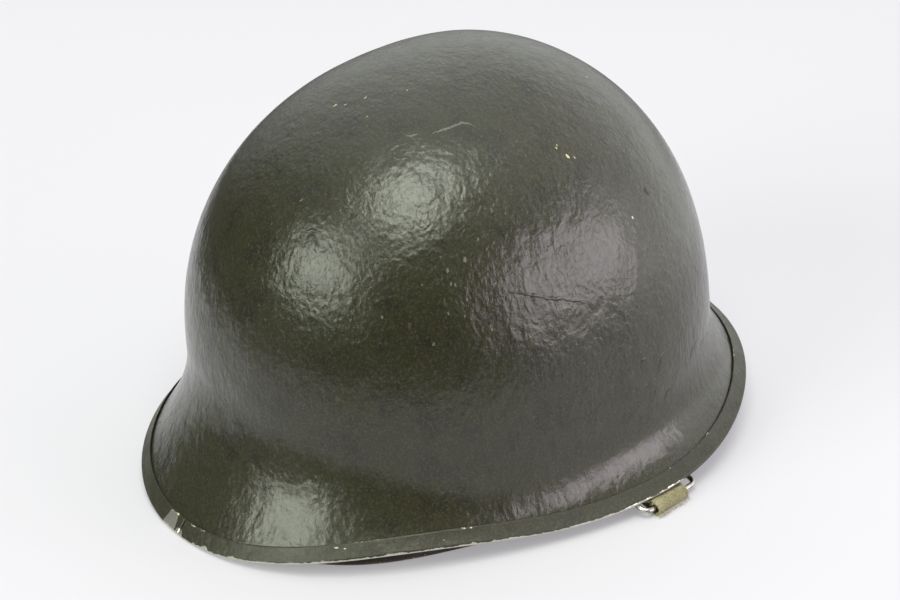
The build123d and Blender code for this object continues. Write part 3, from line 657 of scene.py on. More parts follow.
def window_between(angle, start, end, soft):
    """Share that rises from 0 to 1 inside a span of degrees either side of the front."""
    turn = np.degrees((angle + pi) % (2 * pi) - pi)
    return np.clip(np.minimum(turn - start, end - turn) / soft, 0, 1)


def edging_piece():
    """Folded strip round the rim, butted at the front, its top edge sprung a little off the pot."""
    gap = edging_seam_gap / (steel["front"] + steel["flares"][0]) / 2
    angle = np.linspace(gap, 2 * pi - gap, 901)
    top = edging_station(angle, edging_width)
    outside = -edging_clearance - edging_wall
    inside = steel_wall + edging_clearance + edging_wall
    nose = (inside - outside) / 2
    middle = steel_wall / 2
    # The strip stands off a little on the right of the seam and towards the left rear
    sprung = 0.35 * window_between(angle, -75, -8, 12) + 0.4 * window_between(angle, 105, 160, 12)
    dented = 0.09 * waviness(wall_place(steel, angle, top), 7, 3)
    shares = np.linspace(0, 1, 11)
    soft = 0.18
    # Round the strip's section: top edge, outer leaf, nose, inner leaf and the two faces that hold the rim
    loops = [
        wall_place(steel, angle, top, -edging_clearance - sprung),
        wall_place(steel, angle, top, outside + soft - sprung, -soft / 2),
    ]
    for share in shares:
        station = top + (2.0 - top) * share
        lifted = sprung * (1 - share) ** 2 + dented * sin(pi * min(share + 0.15, 1.0))
        loops.append(wall_place(steel, angle, station, outside - lifted))
    for turn in np.linspace(0, pi, 15)[1:-1]:
        loops.append(wall_place(steel, angle, 2.0, middle - nose * cos(turn), nose * sin(turn)))
    for share in shares[::-1]:
        loops.append(wall_place(steel, angle, top + (2.0 - top) * share, inside))
    loops.append(wall_place(steel, angle, top, steel_wall + edging_clearance))
    loops.append(wall_place(steel, angle, 2.0, steel_wall + edging_clearance, edging_clearance))
    loops.append(wall_place(steel, angle, 2.0, -edging_clearance, edging_clearance))
    loops.append(wall_place(steel, angle, top + 0.3 * (2.0 - top), -edging_clearance))
    rows = np.stack(loops)
    down = arc_length(rows)
    faces = sheet_faces(len(rows), len(angle), closed_rows=True)
    count = len(angle)
    faces.append(tuple(i * count for i in range(len(rows))))
    faces.append(tuple(i * count + count - 1 for i in reversed(range(len(rows)))))
    # Rubbed bare from just above the nose, further up on the left front, at the seam and at two knocks by it
    bared = 9.5
    for start, end, soft_edge, further_up in (
        (-6, 106, 6, 1.7), (-4.8, -1.4, 0.5, 7.8), (5.8, 7.2, 0.6, 1.3), (-1.2, 0.8, 0.4, 2.0),
    ):
        bared = bared - further_up * window_between(angle, start, end, soft_edge)
    worn = np.clip(down - bared, -3, 2.5)
    # A thin bare line on the top edge, left of the seam
    lip_line = window_between(angle, 4, 50, 6) * (0.9 - 1.4 * down) - 2 * (down > 1.5)
    worn = np.maximum(worn, np.clip(lip_line - 0.6, -3, 1))
    # Painted again inside the rim
    inner_paint = 11.5
    worn = np.where(down > inner_paint, worn - 2.2 * np.clip((down - inner_paint) / 2, 0, 1.4), worn)
    return make_piece(
        "folded_rim_edging", rows.reshape(-1, 3), faces, edging_finish, "pot", ["rim_edging"],
        floats={"worn": worn.ravel()}, vectors={"run": brush_run(rows, down)},
    )


def even_line(points, step):
    """Points this far apart along straight runs between the given ones."""
    points = np.asarray(points, float)
    size = np.concatenate([[0], np.cumsum(np.linalg.norm(np.diff(points, axis=0), axis=1))])
    places = np.linspace(0, size[-1], max(int(size[-1] / step), 3))
    return np.stack([np.interp(places, size, points[:, k]) for k in range(points.shape[1])], axis=-1)


# About how many millimetres of the dome a radian of turn and a station span
turn_span = 100
station_span = 90


def surface_marks(name, routes, material, width, height, seed):
    """Ridges or scuffs on the painted face, each along a route of angles and stations."""
    draw = random.Random(seed)
    points, faces = [], []
    shape = ((-1.0, -0.6), (-0.55, 0.6), (0.0, 1.0), (0.55, 0.6), (1.0, -0.6))
    # Routes high on the dome span less than its full girth
    spans = (60, station_span)
    for route in routes:
        knots = np.array([(radians(turn) * spans[0], station * spans[1]) for turn, station in route])
        line = even_line(knots, 0.7) / spans
        ahead = np.gradient(line, axis=0) * spans
        side = np.stack([-ahead[:, 1], ahead[:, 0]], axis=-1)
        side = side / np.maximum(np.linalg.norm(side, axis=1, keepdims=True), 1e-9)
        start = len(points)
        for i, (place, across) in enumerate(zip(line, side)):
            ends = min(1.0, 0.25 + 3.0 * min(i, len(line) - 1 - i) / len(line))
            wide = width / 2 * ends * draw.uniform(0.6, 1.3)
            wander = draw.uniform(-0.2, 0.2) * width
            for out, up in shape:
                step = across * (out * wide + wander) / (turn_span, station_span)
                points.append(enamel_place(place[0] + step[0], place[1] + step[1], height * up * ends))
        faces += sheet_faces(len(line), len(shape), offset=start)
    return make_piece(name, points, faces, material, "pot")


def paint_chips(name, spots, material, seed, lift=0.0):
    """Ragged little patches where the enamel is knocked off, at angles and stations with a size in mm."""
    draw = random.Random(seed)
    points, faces = [], []
    count, middle_rise, edge_rise, stretch = 11, 0.05, 0.03, 1.3
    for turn, station, size in spots:
        start = len(points)
        points.append(enamel_place(radians(turn), station, lift + middle_rise))
        for k in range(count):
            reach = size / 2 * draw.uniform(0.55, 1.3)
            bend = 2 * pi * k / count
            step = (reach * cos(bend) / turn_span, reach * sin(bend) / station_span)
            points.append(enamel_place(radians(turn) + step[0] * stretch, station + step[1], lift + edge_rise))
        faces += [(start, start + 1 + k, start + 1 + (k + 1) % count) for k in range(count)]
    return make_piece(name, points, faces, material, "pot")


bowl_piece(
    "painted_pot", "steel_shell", steel, steel_wall, enamel, "pot",
    around=400, dome_rows=110, flare_rows=60, wavy=True,
)
bowl_piece(
    "laminated_liner", "liner_shell", liner, liner_wall, laminate, "liner",
    around=240, dome_rows=60, flare_rows=30,
)
edging_piece()

# Routes are in degrees round from the front and stations down the wall
scuff_routes = (
    ((34.3, 0.277), (39.5, 0.2705)),
    ((45.8, 0.267), (55.0, 0.254), (60.5, 0.247), (64.5, 0.254), (66.5, 0.267)),
    ((79.5, 0.703), (87.8, 0.733)),
    ((44.5, 0.480), (46.3, 0.467), (48.3, 0.460)),
)
surface_marks("pale_scuffs", scuff_routes, scuff, 0.7, 0.05, 4)
# Raised ridges in near-black enamel: painted shade for the dark cracks in the wrinkled coat
wrinkle_routes = (
    ((65.5, 0.664), (69.0, 0.674), (72.8, 0.687), (79.5, 0.707), (87.8, 0.737)),
    ((14.5, 0.554), (16.8, 0.544), (19.8, 0.544)),
    ((19.0, 0.570), (19.0, 0.584), (20.0, 0.590)),
    ((20.3, 0.590), (21.5, 0.587), (22.5, 0.577)),
    ((99.0, 0.910), (100.0, 0.900), (102.0, 0.903)),
    ((104.8, 0.943), (106.0, 0.923), (109.3, 0.913)),
    ((118.0, 0.987), (119.3, 0.973), (122.5, 0.970)),
    ((106.3, 1.006), (107.3, 0.993), (109.3, 0.993)),
    ((102.5, 0.983), (103.0, 0.977), (103.8, 0.970)),
    ((99.5, 0.957), (100.3, 0.953), (101.5, 0.950)),
    ((95.8, 0.867), (96.5, 0.863), (97.3, 0.860)),
    ((100.8, 0.780), (101.3, 0.787), (101.3, 0.794)),
    ((124.3, 0.990), (126.0, 0.990), (127.8, 0.990)),
)
surface_marks("enamel_wrinkles", wrinkle_routes, crack_shade_enamel, 1.0, 0.18, 5)
chip_spots = (
    (99.7, 0.420, 1.3), (97.6, 0.390, 0.8), (98.6, 0.384, 0.6), (-9.3, 0.254, 0.9), (0.0, 0.197, 0.9),
    (-5.0, 0.237, 0.7), (20.5, 0.137, 0.7), (102.0, 0.43, 0.6), (12.0, 0.24, 0.6), (110.0, 0.62, 0.8),
    (-60.0, 0.55, 1.1), (-120.0, 0.8, 1.4), (175.0, 0.6, 1.2), (150.0, 0.35, 0.9), (-95.0, 1.2, 1.0),
)
paint_chips("primer_chips", chip_spots, primer, 6)
scuff_spots = (
    (55.8, 0.584, 1.5), (53.0, 0.637, 0.8), (59.8, 0.544, 0.8), (69.3, 0.497, 0.7), (51.3, 0.604, 1.0),
    (-30.0, 0.7, 1.4), (200.0, 0.5, 1.6), (-140.0, 0.4, 1.5), (52.0, 0.634, 0.7), (55.5, 0.67, 0.9),
    (51.0, 0.697, 0.6), (36.7, 0.707, 1.0), (54.7, 0.704, 0.7), (45.2, 0.634, 0.5), (63.0, 0.644, 0.7),
    (83.0, 0.337, 0.6), (72.7, 0.747, 0.6), (60.4, 0.73, 0.5), (33.0, 0.62, 0.6), (47.5, 0.76, 0.7),
)
paint_chips("pale_spots", scuff_spots, scuff, 7)
stain_spots = (
    (98.3, 0.396, 2.6), (83.7, 0.384, 2.2), (85.4, 0.366, 1.4), (81.0, 0.345, 1.0), (42.5, 0.72, 1.6),
    (28.0, 0.9, 1.8), (66.0, 0.86, 1.4), (120.0, 0.6, 2.0), (-70.0, 0.8, 1.8), (-150.0, 0.6, 1.6),
)
paint_chips("brown_stains", stain_spots, stain, 9)
strip_spots = ((29.6, 1.915, 1.1), (31.0, 1.925, 0.8), (-2.2, 1.93, 0.9), (48.0, 1.93, 0.6))
paint_chips("strip_chips", strip_spots, primer, 8, edging_wall + edging_clearance)


# Chin straps, each sewn into a roll round its wire loop
chin_web_width = 19.0
web_thickness = 1.2
floor_gap = 0.1
loop_turn = radians(98.5)
loop_wire_radius = 1.2
loop_bar_inset = 3.0
loop_half_width = 16.0
loop_corner = 3.4
# How far the drawn loop and roll stand out past the solids' bar and towards the visor, as photographed
bar_sag = 4.2
roll_slip = 2.8
loop_slip = 1.0
roll_length = 10.0
roll_height = 1.6 + 2 * loop_wire_radius + 0.1 + 2 * web_thickness
strap_lead = 34.0
strap_turn_radius = 120.0
tail_reach = 1.5
left_run_length = 82.0
right_run_length = 168.0

# The liner's webs and leather
band_centre = 10.5
band_half_width = 88.0
band_half_length = 106.0
band_height = 62.0
band_tilt = 4.0
head_web_width = 19.0
head_web_thickness = 1.3
sweatband_width = 32.0
sweatband_thickness = 1.6
sweatband_gap = 1.6
crown_strap_width = 19.0
crown_strap_thickness = 1.3
crown_strap_height = 143.0
nape_web_width = 24.0
nape_web_thickness = 2.2
nape_web_height = 36.0
nape_web_stand = 12.0
nape_web_spread = radians(56.0)
upwards = np.array([0.0, 0.0, 1.0])


def at(angle, radius, height):
    """Places from their angle round from the front, radius and height."""
    angle, radius, height = np.broadcast_arrays(
        np.asarray(angle, float), np.asarray(radius, float), np.asarray(height, float)
    )
    return np.stack([radius * np.sin(angle), -radius * np.cos(angle), height], axis=-1)


def smooth_line(points, count):
    """Even points on a smooth curve through the given ones."""
    points = np.asarray(points, float)
    gaps = np.linalg.norm(np.diff(points, axis=0), axis=1)
    knots = np.concatenate([[0], np.cumsum(gaps)])
    last = len(points) - 1
    matrix, right = np.eye(last + 1), np.zeros_like(points)
    for i in range(1, last):
        matrix[i, i - 1 : i + 2] = gaps[i - 1], 2 * (gaps[i - 1] + gaps[i]), gaps[i]
        right[i] = 6 * ((points[i + 1] - points[i]) / gaps[i] - (points[i] - points[i - 1]) / gaps[i - 1])
    bends = np.linalg.solve(matrix, right)
    places = np.linspace(0, knots[-1], count)
    k = np.clip(np.searchsorted(knots, places) - 1, 0, last - 1)
    h, a, b = gaps[k][:, None], (knots[k + 1] - places)[:, None], (places - knots[k])[:, None]
    return (
        bends[k] * a**3 / (6 * h) + bends[k + 1] * b**3 / (6 * h)
        + (points[k] / h - bends[k] * h / 6) * a + (points[k + 1] / h - bends[k + 1] * h / 6) * b
    )


def band_mesh(middles, across, through, width, thickness, closed=False, seed=1):
    """Points, faces and cloth places of flat web with round selvages, along a line of middles."""
    half, round_edge = (width - thickness) / 2, thickness / 2
    flat = np.linspace(-half, half, 15)
    turn = np.linspace(pi / 2, -pi / 2, 7)[1:-1]
    xs = np.concatenate([flat, half + round_edge * np.cos(turn), flat[::-1], -half - round_edge * np.cos(turn)])
    ys = np.concatenate([flat * 0 + 1, np.sin(turn), flat * 0 - 1, -np.sin(turn)]) * round_edge
    steps = np.linalg.norm(np.diff(middles, axis=0), axis=1)
    along = np.concatenate([[0], np.cumsum(steps)])
    slack = waviness(middles, 9, seed)[:, None]
    selvage = 0.16 * waviness(middles, 3.5, seed + 1)[:, None] * (xs / half) ** 3
    rows = middles[:, None, :] + across[:, None, :] * (xs + selvage)[..., None]
    rows = rows + through[:, None, :] * (ys + 0.08 * slack * np.cos(xs / half))[..., None]
    grid = rows.shape[:2]
    cloth = np.stack([np.broadcast_to(xs, grid), np.broadcast_to(along[:, None], grid), np.zeros(grid)], axis=-1)
    count = len(xs)
    faces = sheet_faces(len(middles), count, closed_rows=closed, closed_columns=True)
    if not closed:
        faces.append(tuple(range(count)))
        faces.append(tuple((len(middles) - 1) * count + k for k in reversed(range(count))))
    return rows.reshape(-1, 3), faces, cloth.reshape(-1, 3)


def travel(middles, closed=True):
    """Headings along a line of middles."""
    if closed:
        return unit(np.roll(middles, -1, axis=0) - np.roll(middles, 1, axis=0))
    return unit(np.gradient(middles, axis=0))


def joined(meshes):
    """One mesh of several, with their cloth places."""
    points, faces, cloth, start = [], [], [], 0
    for some_points, some_faces, some_cloth in meshes:
        points.append(some_points)
        cloth.append(some_cloth)
        faces += [tuple(start + k for k in face) for face in some_faces]
        start += len(some_points)
    return np.concatenate(points), faces, np.concatenate(cloth)


def stitch_mesh(middles, along, outward, length, size):
    """Raised stitches, each a small fat lozenge of thread sunk half into the cloth."""
    around = 6
    rings = ((-0.5, 0.15), (-0.3, 0.9), (0.0, 1.0), (0.3, 0.9), (0.5, 0.15))
    points, faces = [], []
    for middle, way, out in zip(middles, along, outward):
        side = np.cross(way, out)
        start = len(points)
        for place, girth in rings:
            for k in range(around):
                turn = 2 * pi * k / around
                ring = side * cos(turn) + out * (sin(turn) + 0.3 * girth)
                points.append(middle + way * place * length + ring * size / 2 * girth)
        last = len(points) - around
        faces += sheet_faces(len(rings), around, closed_columns=True, offset=start)
        faces += [tuple(start + k for k in range(around)), tuple(last + k for k in reversed(range(around)))]
    return np.array(points), faces, np.zeros((len(points), 3))


def fibre_mesh(roots, outward, count, length, seed):
    """Short bent fibres that stand out of a cut or rubbed edge."""
    draw = random.Random(seed)
    knots, half_thick, taper, stray = 5, 0.055, 0.8, 0.3
    points, faces = [], []
    for _ in range(count):
        i = draw.randrange(len(roots))
        place = roots[i] + np.array([draw.uniform(-stray, stray) for _ in range(3)])
        way = unit(outward[i] + np.array([draw.gauss(0, 0.55) for _ in range(3)]))
        bend = np.array([draw.gauss(0, 0.5) for _ in range(3)])
        side = unit(np.cross(way, bend + 1e-6))
        reach = length * draw.uniform(0.35, 1.0)
        start = len(points)
        for share in np.linspace(0, 1, knots):
            spot = place + way * reach * share + bend * reach * 0.5 * share**2
            half = half_thick * (1 - taper * share)
            points += [spot - side * half, spot + side * half]
        corners = range(start, start + 2 * knots - 2, 2)
        faces += [(k, k + 1, k + 3, k + 2) for k in corners]
    points = np.array(points)
    points[:, 2] = np.maximum(points[:, 2], floor_gap)
    return points, faces, np.zeros((len(points), 3))


def mirrored(mesh):
    """The same mesh for the wearer's right."""
    points, faces, cloth = mesh
    return points * [-1, 1, 1], [face[::-1] for face in faces], cloth


def soft_piece(name, mesh, material, body, nodes=()):
    """Piece of web, thread or leather, from its points, faces and cloth places."""
    points, faces, cloth = mesh
    return make_piece(name, points, faces, material, body, list(nodes), vectors={"cloth": cloth})


# The strap's own places: where its loop, roll and run lie, and which way they go
rim_radius = float(profile(steel, np.array(loop_turn), np.array(2.0))[0])
bar_radius = rim_radius - loop_bar_inset
tail_radius = bar_radius - roll_length / 2
inwards = -at(loop_turn, 1, 0)
strap_across = np.array([cos(loop_turn), sin(loop_turn), 0.0])
strap_forward = -strap_across
run_gap = 0.3
strap_start = at(loop_turn, tail_radius - run_gap, 0)
join_place = tail_reach - run_gap


def floor_line(length, turn_share, places):
    """Points and headings on the floor at distances from the roll: a straight lead, a bend, a straight end."""
    bent = (length - strap_lead) * turn_share
    bend = np.clip(places - strap_lead, 0, bent) / strap_turn_radius
    lead = np.minimum(places, strap_lead)[:, None] * inwards
    left = np.array([-inwards[1], inwards[0], 0.0])
    arc = strap_turn_radius * (np.sin(bend)[:, None] * inwards + (1 - np.cos(bend))[:, None] * left)
    heading = np.cos(bend)[:, None] * inwards + np.sin(bend)[:, None] * left
    tail = np.maximum(places - strap_lead - bent, 0)[:, None] * heading
    return strap_start + lead + arc + tail, heading


def strap_rise(places, climbing):
    """Underside of the strap; the long one climbs onto its buckle's back bars."""
    climb_from, climb_over, climb = 80.0, 14.0, 1.5
    share = np.clip((places - climb_from) / climb_over, 0, 1) if climbing else 0 * places
    return floor_gap + climb * share**2 * (3 - 2 * share)


def roll_mesh():
    """Web wrapped round the wire loop's bar, with both layers running on inwards."""
    low, high = floor_gap + web_thickness / 2, floor_gap + roll_height - web_thickness / 2
    bend = (high - low) / 2
    sagged = bar_radius + bar_sag
    bend_centre = sagged + 3.5 - bend - web_thickness / 2
    line = [(tail_radius - tail_reach, low), (bend_centre, low)]
    for turn in np.linspace(-pi / 2, pi / 2, 13)[1:-1]:
        line.append((bend_centre + bend * cos(turn), (low + high) / 2 + bend * sin(turn)))
    # The upper layer slopes down past the bar and lies on the lower one
    line += [
        (bend_centre, high), (sagged - 2.4, high - 0.05), (sagged - 4.6, high - 1.0),
        (bar_radius - 3.2, low + web_thickness + 0.9), (bar_radius - 5.2, low + web_thickness + 0.06),
        (tail_radius - tail_reach, low + web_thickness),
    ]
    flat = even_line(line, 0.28)
    slip = roll_slip * np.clip((flat[:, :1] - bar_radius + roll_length / 2) / roll_length, 0, 1)
    middles = at(loop_turn, flat[:, 0], flat[:, 1]) + slip * strap_forward
    across = np.broadcast_to(strap_across, middles.shape)
    through = unit(np.cross(across, travel(middles, closed=False)))
    return band_mesh(middles, across, through, chin_web_width, web_thickness, seed=11)


def flat_across(way):
    """Directions across a strap that lies flat, from its headings."""
    return np.stack([-way[:, 1], way[:, 0], 0 * way[:, 0]], axis=-1)


def run_mesh(length, turn_share, climbing):
    """The strap's long run on the floor, with its short end sewn back on top."""
    meshes = []
    sewn_end = 20.0
    for layer, reach in ((0, length), (1, sewn_end)):
        # Fine steps near the roll
        fine = np.arange(join_place, join_place + 9, 0.3)
        places = np.concatenate([fine, np.arange(fine[-1] + 1, reach, 1.0)])
        middles, way = floor_line(length, turn_share, places)
        middles[:, 2] = strap_rise(places, climbing) + web_thickness * (layer + 0.5)
        through = np.broadcast_to(upwards, middles.shape)
        meshes.append(band_mesh(middles, flat_across(way), through, chin_web_width, web_thickness, seed=21 + layer))
    return joined(meshes)


def strap_stitches(length, turn_share):
    """Rows of stitches across and along the doubled end."""
    edge_row = 7.6
    spots = [(place, side) for place in (8.5, 18.0) for side in np.arange(-7.0, 7.1, 2.0)]
    spots += [(place, side) for side in (-edge_row, edge_row) for place in np.arange(10.4, 17.5, 2.0)]
    places, sides = np.array(spots).T
    middles, way = floor_line(length, turn_share, places)
    across = flat_across(way)
    middles = middles + across * sides[:, None] + upwards * (floor_gap + 2 * web_thickness)
    lengthwise = np.where(abs(sides)[:, None] > edge_row - 0.3, way, across)
    return stitch_mesh(middles, lengthwise, np.broadcast_to(upwards, middles.shape), 1.7, 0.5)


def hook_roll(length, turn_share):
    """The strap's far end, wrapped round the hook's bar and sewn down."""
    size, bar_thickness, play, sewn = 8.0, 1.6, 0.2, 10
    height = bar_thickness + play + 2 * web_thickness
    middle, way = (found[0] for found in floor_line(length, turn_share, np.array([length - size / 2])))
    low, high = floor_gap + web_thickness / 2, floor_gap + height - web_thickness / 2
    bend = (high - low) / 2
    reach = size / 2 - web_thickness / 2 - bend
    line = [(-reach - sewn, low), (reach, low)]
    for turn in np.linspace(-pi / 2, pi / 2, 11)[1:-1]:
        line.append((reach + bend * cos(turn), (low + high) / 2 + bend * sin(turn)))
    line += [
        (reach, high), (-reach + 1.2, high), (-reach - 3, low + web_thickness + 0.05),
        (-reach - sewn, low + web_thickness),
    ]
    flat = even_line(line, 0.5)
    middles = middle + flat[:, :1] * way + np.outer(flat[:, 1], upwards)
    across = np.broadcast_to(np.cross(upwards, way), middles.shape)
    through = unit(np.cross(across, travel(middles, closed=False)))
    return band_mesh(middles, across, through, chin_web_width, web_thickness, seed=31)


def roll_fluff(seed):
    """Fibres along both frayed selvages of the roll, and tan lint under it."""
    half_web = chin_web_width / 2
    sagged = bar_radius + bar_sag
    roots, ways = [], []
    for side in (-1, 1):
        for reach in np.linspace(-4.5, 4.6, 16):
            for height, lean in ((0.5, -0.3), (1.0, -0.3), (roll_height - 0.6, 0.2)):
                root = at(loop_turn, sagged - 1.4 + reach, floor_gap + height)
                roots.append(root + strap_across * side * half_web)
                ways.append(strap_across * side + upwards * lean)
    for share in np.linspace(-1, 1, 30):
        for height in np.linspace(floor_gap + 0.2, floor_gap + roll_height * 0.8, 12)[:5]:
            roots.append(at(loop_turn, sagged + 3.2, height) + strap_across * share * half_web)
            ways.append(-inwards + upwards * -0.4)
    return fibre_mesh(np.array(roots) + roll_slip * strap_forward, np.array(ways), 620, 1.9, seed)


def wire_loop_mesh():
    """Drawn wire bent to a rounded loop, its legs bowed to pass under the rim, butt-welded at the pivot."""
    pivot = (rim_radius - 9.0, 10.8)
    under_rim = (bar_radius - 2.0, 5.9)
    bar = (bar_radius + bar_sag, floor_gap + web_thickness + 1.3 + loop_wire_radius)
    legs = smooth_line([pivot, under_rim, bar], 60)
    reach = np.concatenate([[0], np.cumsum(np.linalg.norm(np.diff(legs, axis=0), axis=1))])
    length = reach[-1]
    outline = []
    # The loop laid flat: its four rounded corners, each from the turn that it starts at
    for side, end, first in ((1, 0, -90), (1, length, 0), (-1, length, 90), (-1, 0, 180)):
        centre = (side * (loop_half_width - loop_corner), end + loop_corner * (1 if end == 0 else -1))
        for turn in np.radians(np.linspace(first, first + 90, 9)):
            outline.append((centre[0] + loop_corner * cos(turn), centre[1] + loop_corner * sin(turn)))
    outline = even_line(outline + outline[:1], 0.5)[:-1]
    rho = np.interp(outline[:, 1], reach, legs[:, 0])
    height = np.interp(outline[:, 1], reach, legs[:, 1])
    middles = at(loop_turn, rho, height) + outline[:, :1] * strap_across + loop_slip * strap_forward
    way = travel(middles)
    plane = unit(np.cross(strap_across, at(loop_turn, 1, -0.7)))
    lift = unit(np.cross(way, np.broadcast_to(plane, way.shape)))
    side = np.cross(way, lift)
    turn = ring_angles(14)[None, :, None]
    rows = middles[:, None] + loop_wire_radius * (np.cos(turn) * lift[:, None] + np.sin(turn) * side[:, None])
    points = rows.reshape(-1, 3)
    faces = sheet_faces(len(middles), turn.size, closed_rows=True, closed_columns=True)
    return points, faces, 0 * points


def world_place(radius, side=1):
    """A place on the strap's line, in metres."""
    place = (at(loop_turn, radius, 1.5) * [side, 1, 1] + middle_shift) * mm
    return tuple(float(value) for value in place)


def chin_strap(side, length, turn_share, climbing):
    """Roll, fluff, wire, run and stitches of one side's chin strap."""
    word = "left" if side > 0 else "right"
    loop = f"{word}_loop"

    def strap_piece(name, mesh, material, body, nodes=()):
        mesh = mesh if side > 0 else mirrored(mesh)
        return soft_piece(f"{word}_{name}", mesh, material, body, [f"{word}_{node}" for node in nodes])

    roll = strap_piece("web_roll", roll_mesh(), strap_web, None, nodes=["strap_roll"])
    world_place(tail_radius + 1.5, side)
    world_place(tail_radius - 0.8, side)
    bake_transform(roll)
    strap_piece("roll_fluff", roll_fluff(40 + side), fluff, loop)
    strap_piece("drawn_wire", wire_loop_mesh(), loop_steel, loop, ["wire_loop"])
    meshes = [run_mesh(length, turn_share, climbing)]
    if not climbing:
        meshes.append(hook_roll(length, turn_share))
    run = strap_piece("web_run", joined(meshes), strap_web, None, nodes=["chin_strap"])
    start = tail_radius - run_gap - join_place
    world_place(start - 0.5, side)
    world_place(start - 4.5, side)
    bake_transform(run)
    strap_piece("strap_stitches", strap_stitches(length, turn_share), thread, "liner")


chin_strap(1, left_run_length, 0.5, False)
chin_strap(-1, right_run_length, 0.25, True)


def head_oval(turn, inset, height):
    """Places on the head band's oval, in from the head web's outer face and up from its middle."""
    return np.stack(
        [
            (band_half_width - inset) * np.sin(turn),
            -band_centre - (band_half_length - inset) * np.cos(turn),
            band_height - band_tilt * (band_half_length - inset) / band_half_length * np.cos(turn) + height,
        ],
        axis=-1,
    )


def head_band():
    """Flat web that runs round the head."""
    turn = ring_angles(360)
    middles = head_oval(turn, head_web_thickness / 2, 0)
    across = np.broadcast_to(upwards, middles.shape)
    through = unit(np.cross(travel(middles), across))
    return band_mesh(middles, across, through, head_web_width, head_web_thickness, closed=True, seed=51)


def leather_band():
    """Sweatband: leather folded over a welt at the top, curling a little at its lower edge, creased by use."""
    turn = ring_angles(420)
    base = head_web_thickness + sweatband_gap
    half, middle, skin = sweatband_width / 2 - 0.1, sweatband_thickness / 2, 0.1
    shares, bends = np.linspace(0, 1, 19), np.linspace(0, pi, 7)[1:-1]
    # Outer face from the top, lower edge, inner face and top edge: inset, height and how deep creases go
    outline = []
    for height in half - 2 * half * shares:
        welt = 0.12 * np.exp(-(((height - half + 1.6) / 1.2) ** 2))
        outline.append((skin - welt, height, 1.0))
    for bend in bends:
        outline.append((middle - (middle - skin) * cos(bend), -half - 0.05 * sin(bend), 0.6))
    for height in -half + 2 * half * shares:
        outline.append((sweatband_thickness - skin, height, 1.0))
    for bend in bends:
        outline.append((middle + (middle - skin) * cos(bend), half + 0.05 * sin(bend), 0.6))
    rows = []
    for inset, height, soft in outline:
        spot = head_oval(turn, base + inset, height)
        crease = 0.1 * waviness(spot * [1, 1, 0.4], 9, 61) + 0.06 * waviness(spot * [1, 1, 0.25], 3.4, 62)
        rows.append(head_oval(turn, base + inset + crease * soft, height))
    rows = np.stack(rows, axis=1)
    faces = sheet_faces(len(turn), len(outline), closed_rows=True, closed_columns=True)
    points = rows.reshape(-1, 3)
    return points, faces, 0 * points


def leather_stitches():
    """Two rows of stitches round the sweatband's inner face, near its top and low edges."""
    meshes = []
    for height in (sweatband_width / 2 - 3.4, -sweatband_width / 2 + 2.6):
        turn = ring_angles(190)
        inset = head_web_thickness + sweatband_gap + sweatband_thickness
        middles = head_oval(turn, inset, height)
        inward = unit((np.array([0, -band_centre, 0]) - middles) * [1, 1, 0])
        meshes.append(stitch_mesh(middles, travel(middles), inward, 2.1, 0.55))
    return joined(meshes)


def crown_strap(turn, layer):
    """Web from one side of the head band up over the crown and down to the other side."""
    height = crown_strap_height + layer * (crown_strap_thickness + 0.2)
    outset = 0.3 + crown_strap_thickness / 2
    centre = np.array([0, -band_centre, 0])
    # Shares of the way out from the middle and up from the band
    shares = ((1.0, 0.0), (1.004, 0.10), (1.0, 0.22), (0.93, 0.52), (0.76, 0.77), (0.5, 0.93), (0.22, 0.99))
    sides = []
    for way in (turn, turn + pi):
        low = np.array(
            [
                (band_half_width + outset) * sin(way),
                -band_centre - (band_half_length + outset) * cos(way),
                band_height - band_tilt * cos(way) - head_web_width / 2 + 2.6,
            ]
        )
        points = []
        for out_share, up_share in shares:
            plan = centre + (low * [1, 1, 0] - centre) * out_share
            points.append([plan[0], plan[1], low[2] + (height - low[2]) * up_share])
        sides.append(points)
    middles = smooth_line(sides[0] + [[0, -band_centre, height]] + sides[1][::-1], 300)
    out = np.array([sin(turn) / band_half_width, -cos(turn) / band_half_length, 0])
    out = out / np.linalg.norm(out)
    across = np.broadcast_to([-out[1], out[0], 0.0], middles.shape)
    through = unit(np.cross(across, travel(middles, closed=False)))
    return band_mesh(middles, across, through, crown_strap_width, crown_strap_thickness, seed=71 + layer)


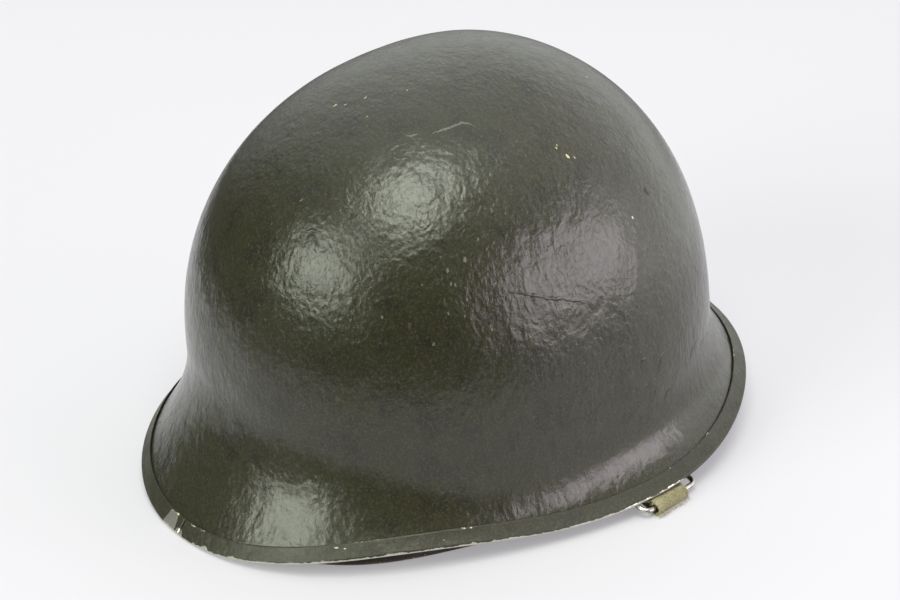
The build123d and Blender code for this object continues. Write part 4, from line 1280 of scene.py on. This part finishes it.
def crown_stitches():
    """A sewn cross where the three straps meet."""
    spots, ways = [], []
    underside = crown_strap_height - crown_strap_thickness / 2
    for turn in np.radians([45, 135, 225, 315]):
        for reach in np.arange(2.0, 8.6, 2.1):
            spots.append([reach * cos(turn), -band_centre + reach * sin(turn), underside])
            ways.append([cos(turn), sin(turn), 0])
    spots, ways = np.array(spots), np.array(ways)
    return stitch_mesh(spots, ways, np.broadcast_to(-upwards, spots.shape), 1.6, 0.5)


def liner_station(angle, height):
    """Stations of the liner's wall at these heights."""
    low, high = np.zeros_like(angle), np.full_like(angle, 2.0)
    for _ in range(30):
        middle = (low + high) / 2
        above = profile(liner, angle, middle)[1] > height
        low, high = np.where(above, middle, low), np.where(above, high, middle)
    return low


def nape_web():
    """Web across the nape, hung clear of the liner's back wall."""
    share = np.linspace(-1, 1, 200)
    angle = pi + share * nape_web_spread
    depth = liner_wall + 0.3 + nape_web_thickness / 2 + nape_web_stand * np.cos(share * pi / 2)
    edges = []
    for height in (nape_web_height - nape_web_width / 2, nape_web_height + nape_web_width / 2):
        edges.append(wall_place(liner, angle, liner_station(angle, height), depth))
    middles = (edges[0] + edges[1]) / 2
    across = unit(edges[1] - edges[0])
    through = unit(np.cross(travel(middles, closed=False), across))
    return band_mesh(middles, across, through, nape_web_width, nape_web_thickness, seed=81)


soft_piece("woven_head_band", head_band(), liner_web, "liner", ["head_web"])
soft_piece("leather_sweatband", leather_band(), leather, "liner", ["sweatband"])
soft_piece("sweatband_stitches", leather_stitches(), thread, "liner")
for layer, (node, turn) in enumerate(
    (("crown_strap_across", 90), ("crown_strap_left_front", 30), ("crown_strap_right_front", 330))
):
    soft_piece(f"woven_{node}", crown_strap(radians(turn), layer), liner_web, "liner", [node])
soft_piece("crown_cross_stitches", crown_stitches(), thread, "liner")
soft_piece("woven_nape_strap", nape_web(), liner_web, "liner", ["nape_strap"])

# The small metal parts stay the solids themselves, with eased edges
finishes = {"bracket_steel": black_steel, "strap_hardware": black_brass, "liner_metal": black_steel}
slot_of = {part["node"]: part["material_slot"] for part in frame["record"]["subparts"]}
for node, piece in frame["nodes"].items():
    if not piece.hide_render:
        piece.data.materials.clear()
        piece.data.materials.append(finishes[slot_of[node]])
        soft = piece.modifiers.new("eased_edges", "BEVEL")
        soft.width = 0.15 * mm
        soft.segments = 2
        soft.limit_method = "ANGLE"
